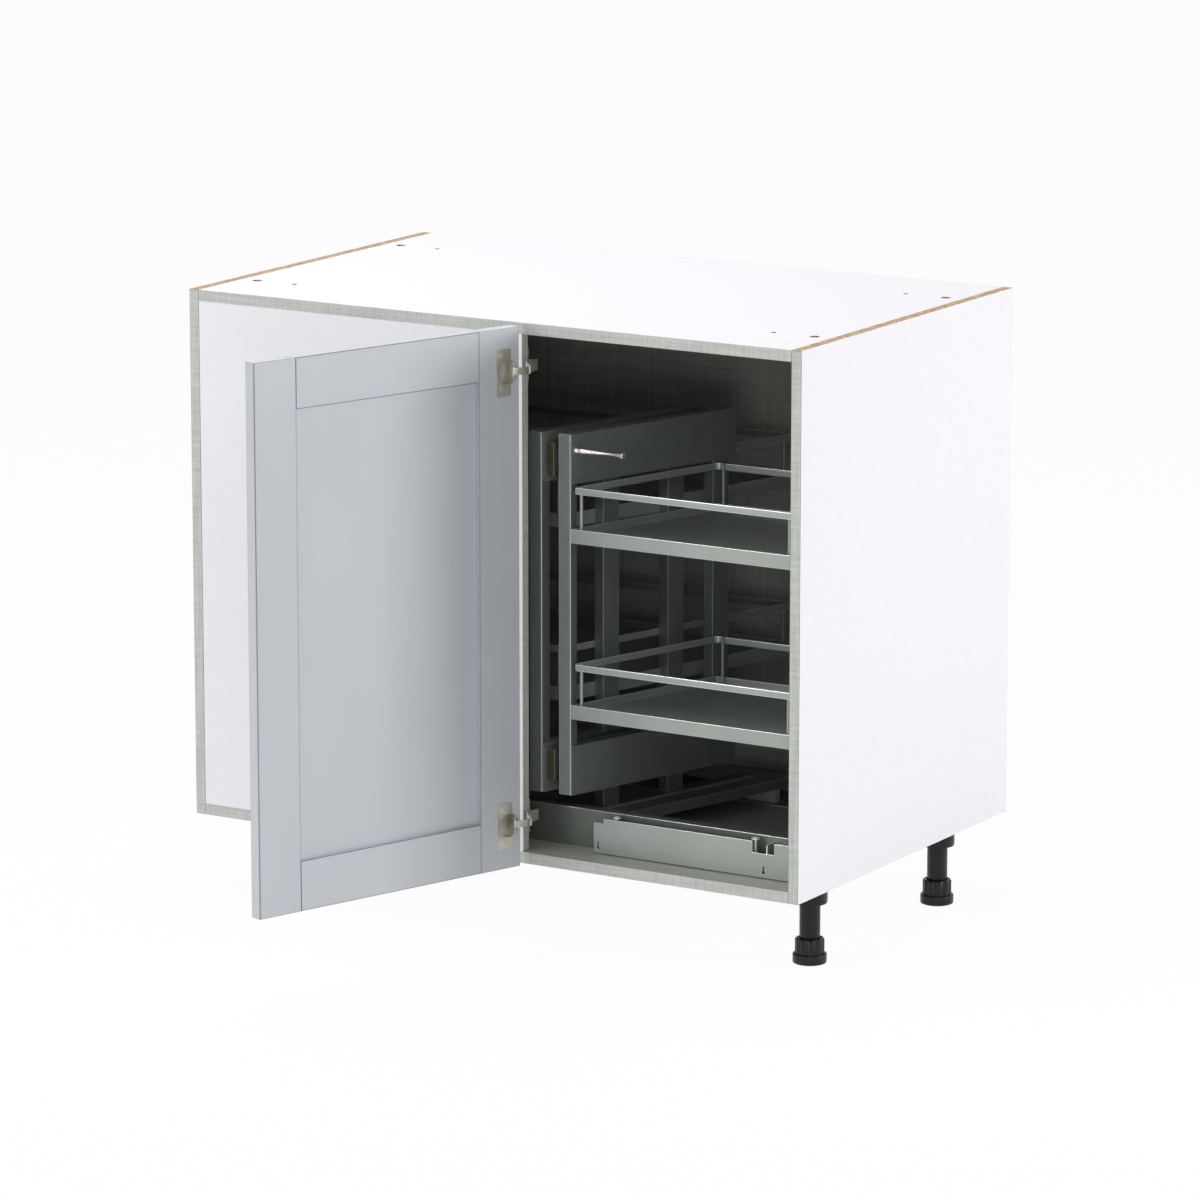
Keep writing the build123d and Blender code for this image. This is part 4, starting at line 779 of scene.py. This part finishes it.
# Studio floor, light and camera
# A pale seamless floor that runs out of the picture, soft lamps above and at both sides, and a
# long lens at the photograph's angle.
FLOOR_SIZE = 80
FLOOR_CLEAR = 0.0004
FLOOR_WHITE = 0.96
AIR_LIGHT = 0.27
LENS_LENGTH = 187.26
CAMERA_PLACE = (4.50018, -7.22377, 2.30629)
CAMERA_DOWN = 12.19
CAMERA_TURN = 31.149

bpy.ops.object.select_all(action="DESELECT")
bpy.ops.mesh.primitive_plane_add(size=FLOOR_SIZE, location=(0, 0, -FLOOR_CLEAR))
floor = bpy.context.object
floor.name = "studio_floor"


def seen_ray(owner):
    """1 for a ray from the camera, or off metal or through glass, and 0 for one that only lights."""
    path = add_node(owner, "LightPath").outputs
    direct = add_node(
        owner, "Math", {"operation": "MAXIMUM"}, {0: path["Is Camera Ray"], 1: path["Is Glossy Ray"]}
    )
    seen = add_node(
        owner, "Math", {"operation": "MAXIMUM"}, {0: direct.outputs[0], 1: path["Is Transmission Ray"]}
    )
    return seen.outputs[0]


floor_paint = bpy.data.materials.new("matt_white_studio_floor")
floor_paint.use_nodes = True
tree = floor_paint.node_tree
tree.nodes.remove(tree.nodes["Principled BSDF"])
matt = add_node(floor_paint, "BsdfDiffuse", {"Color": colour("#F2F2F2")})
glow = add_node(floor_paint, "Emission", {"Color": (1, 1, 1, 1), "Strength": 1.0})
share = levels(floor_paint, seen_ray(floor_paint), 0.0, FLOOR_WHITE)
mixed = add_node(floor_paint, "MixShader", (), {0: share, 1: matt.outputs[0], 2: glow.outputs[0]})
tree.links.new(mixed.outputs[0], tree.nodes["Material Output"].inputs["Surface"])
floor.data.materials.append(floor_paint)

studio = bpy.data.worlds.new("studio_air")
studio.use_nodes = True
bpy.context.scene.world = studio
air = studio.node_tree.nodes["Background"]
air.inputs["Color"].default_value = (1, 1, 1, 1)
studio.node_tree.links.new(levels(studio, seen_ray(studio), AIR_LIGHT, 1.0), air.inputs["Strength"])


def soft_lamp(name, place, aim, size, watts):
    """Square soft lamp that looks from one point to another."""
    lamp = bpy.data.lights.new(name, "AREA")
    lamp.size = size
    lamp.energy = watts
    holder = bpy.data.objects.new(name, lamp)
    bpy.context.scene.collection.objects.link(holder)
    holder.location = place
    holder.rotation_euler = (Vector(aim) - Vector(place)).to_track_quat("-Z", "Y").to_euler()


soft_lamp("ceiling_lamp", place=(-0.8, -0.2, 4.0), aim=(0.0, 0.0, 0.4), size=2.6, watts=96)
soft_lamp("right_lamp", place=(3.94, 1.2, 1.3), aim=(0.1, -0.2, 0.45), size=0.8, watts=68)
soft_lamp("front_left_lamp", place=(-2.2, -4.6, 1.6), aim=(0.1, 0.0, 0.45), size=2.0, watts=74)
soft_lamp("front_right_lamp", place=(3.2, -3.4, 3.0), aim=(0.0, 0.0, 0.45), size=1.6, watts=20)
soft_lamp("low_lamp", place=(3.2, -5.4, 0.9), aim=(0.0, 0.0, 0.45), size=1.2, watts=24)

lens = bpy.data.cameras.new("long_lens")
lens.sensor_width = 36.0
lens.lens = LENS_LENGTH
lens.clip_end = 200.0
camera = bpy.data.objects.new("long_lens", lens)
bpy.context.scene.collection.objects.link(camera)
camera.location = CAMERA_PLACE
camera.rotation_euler = (radians(90 - CAMERA_DOWN), 0, radians(CAMERA_TURN))
bpy.context.scene.camera = camera
bpy.context.scene.view_settings.view_transform = "Standard"
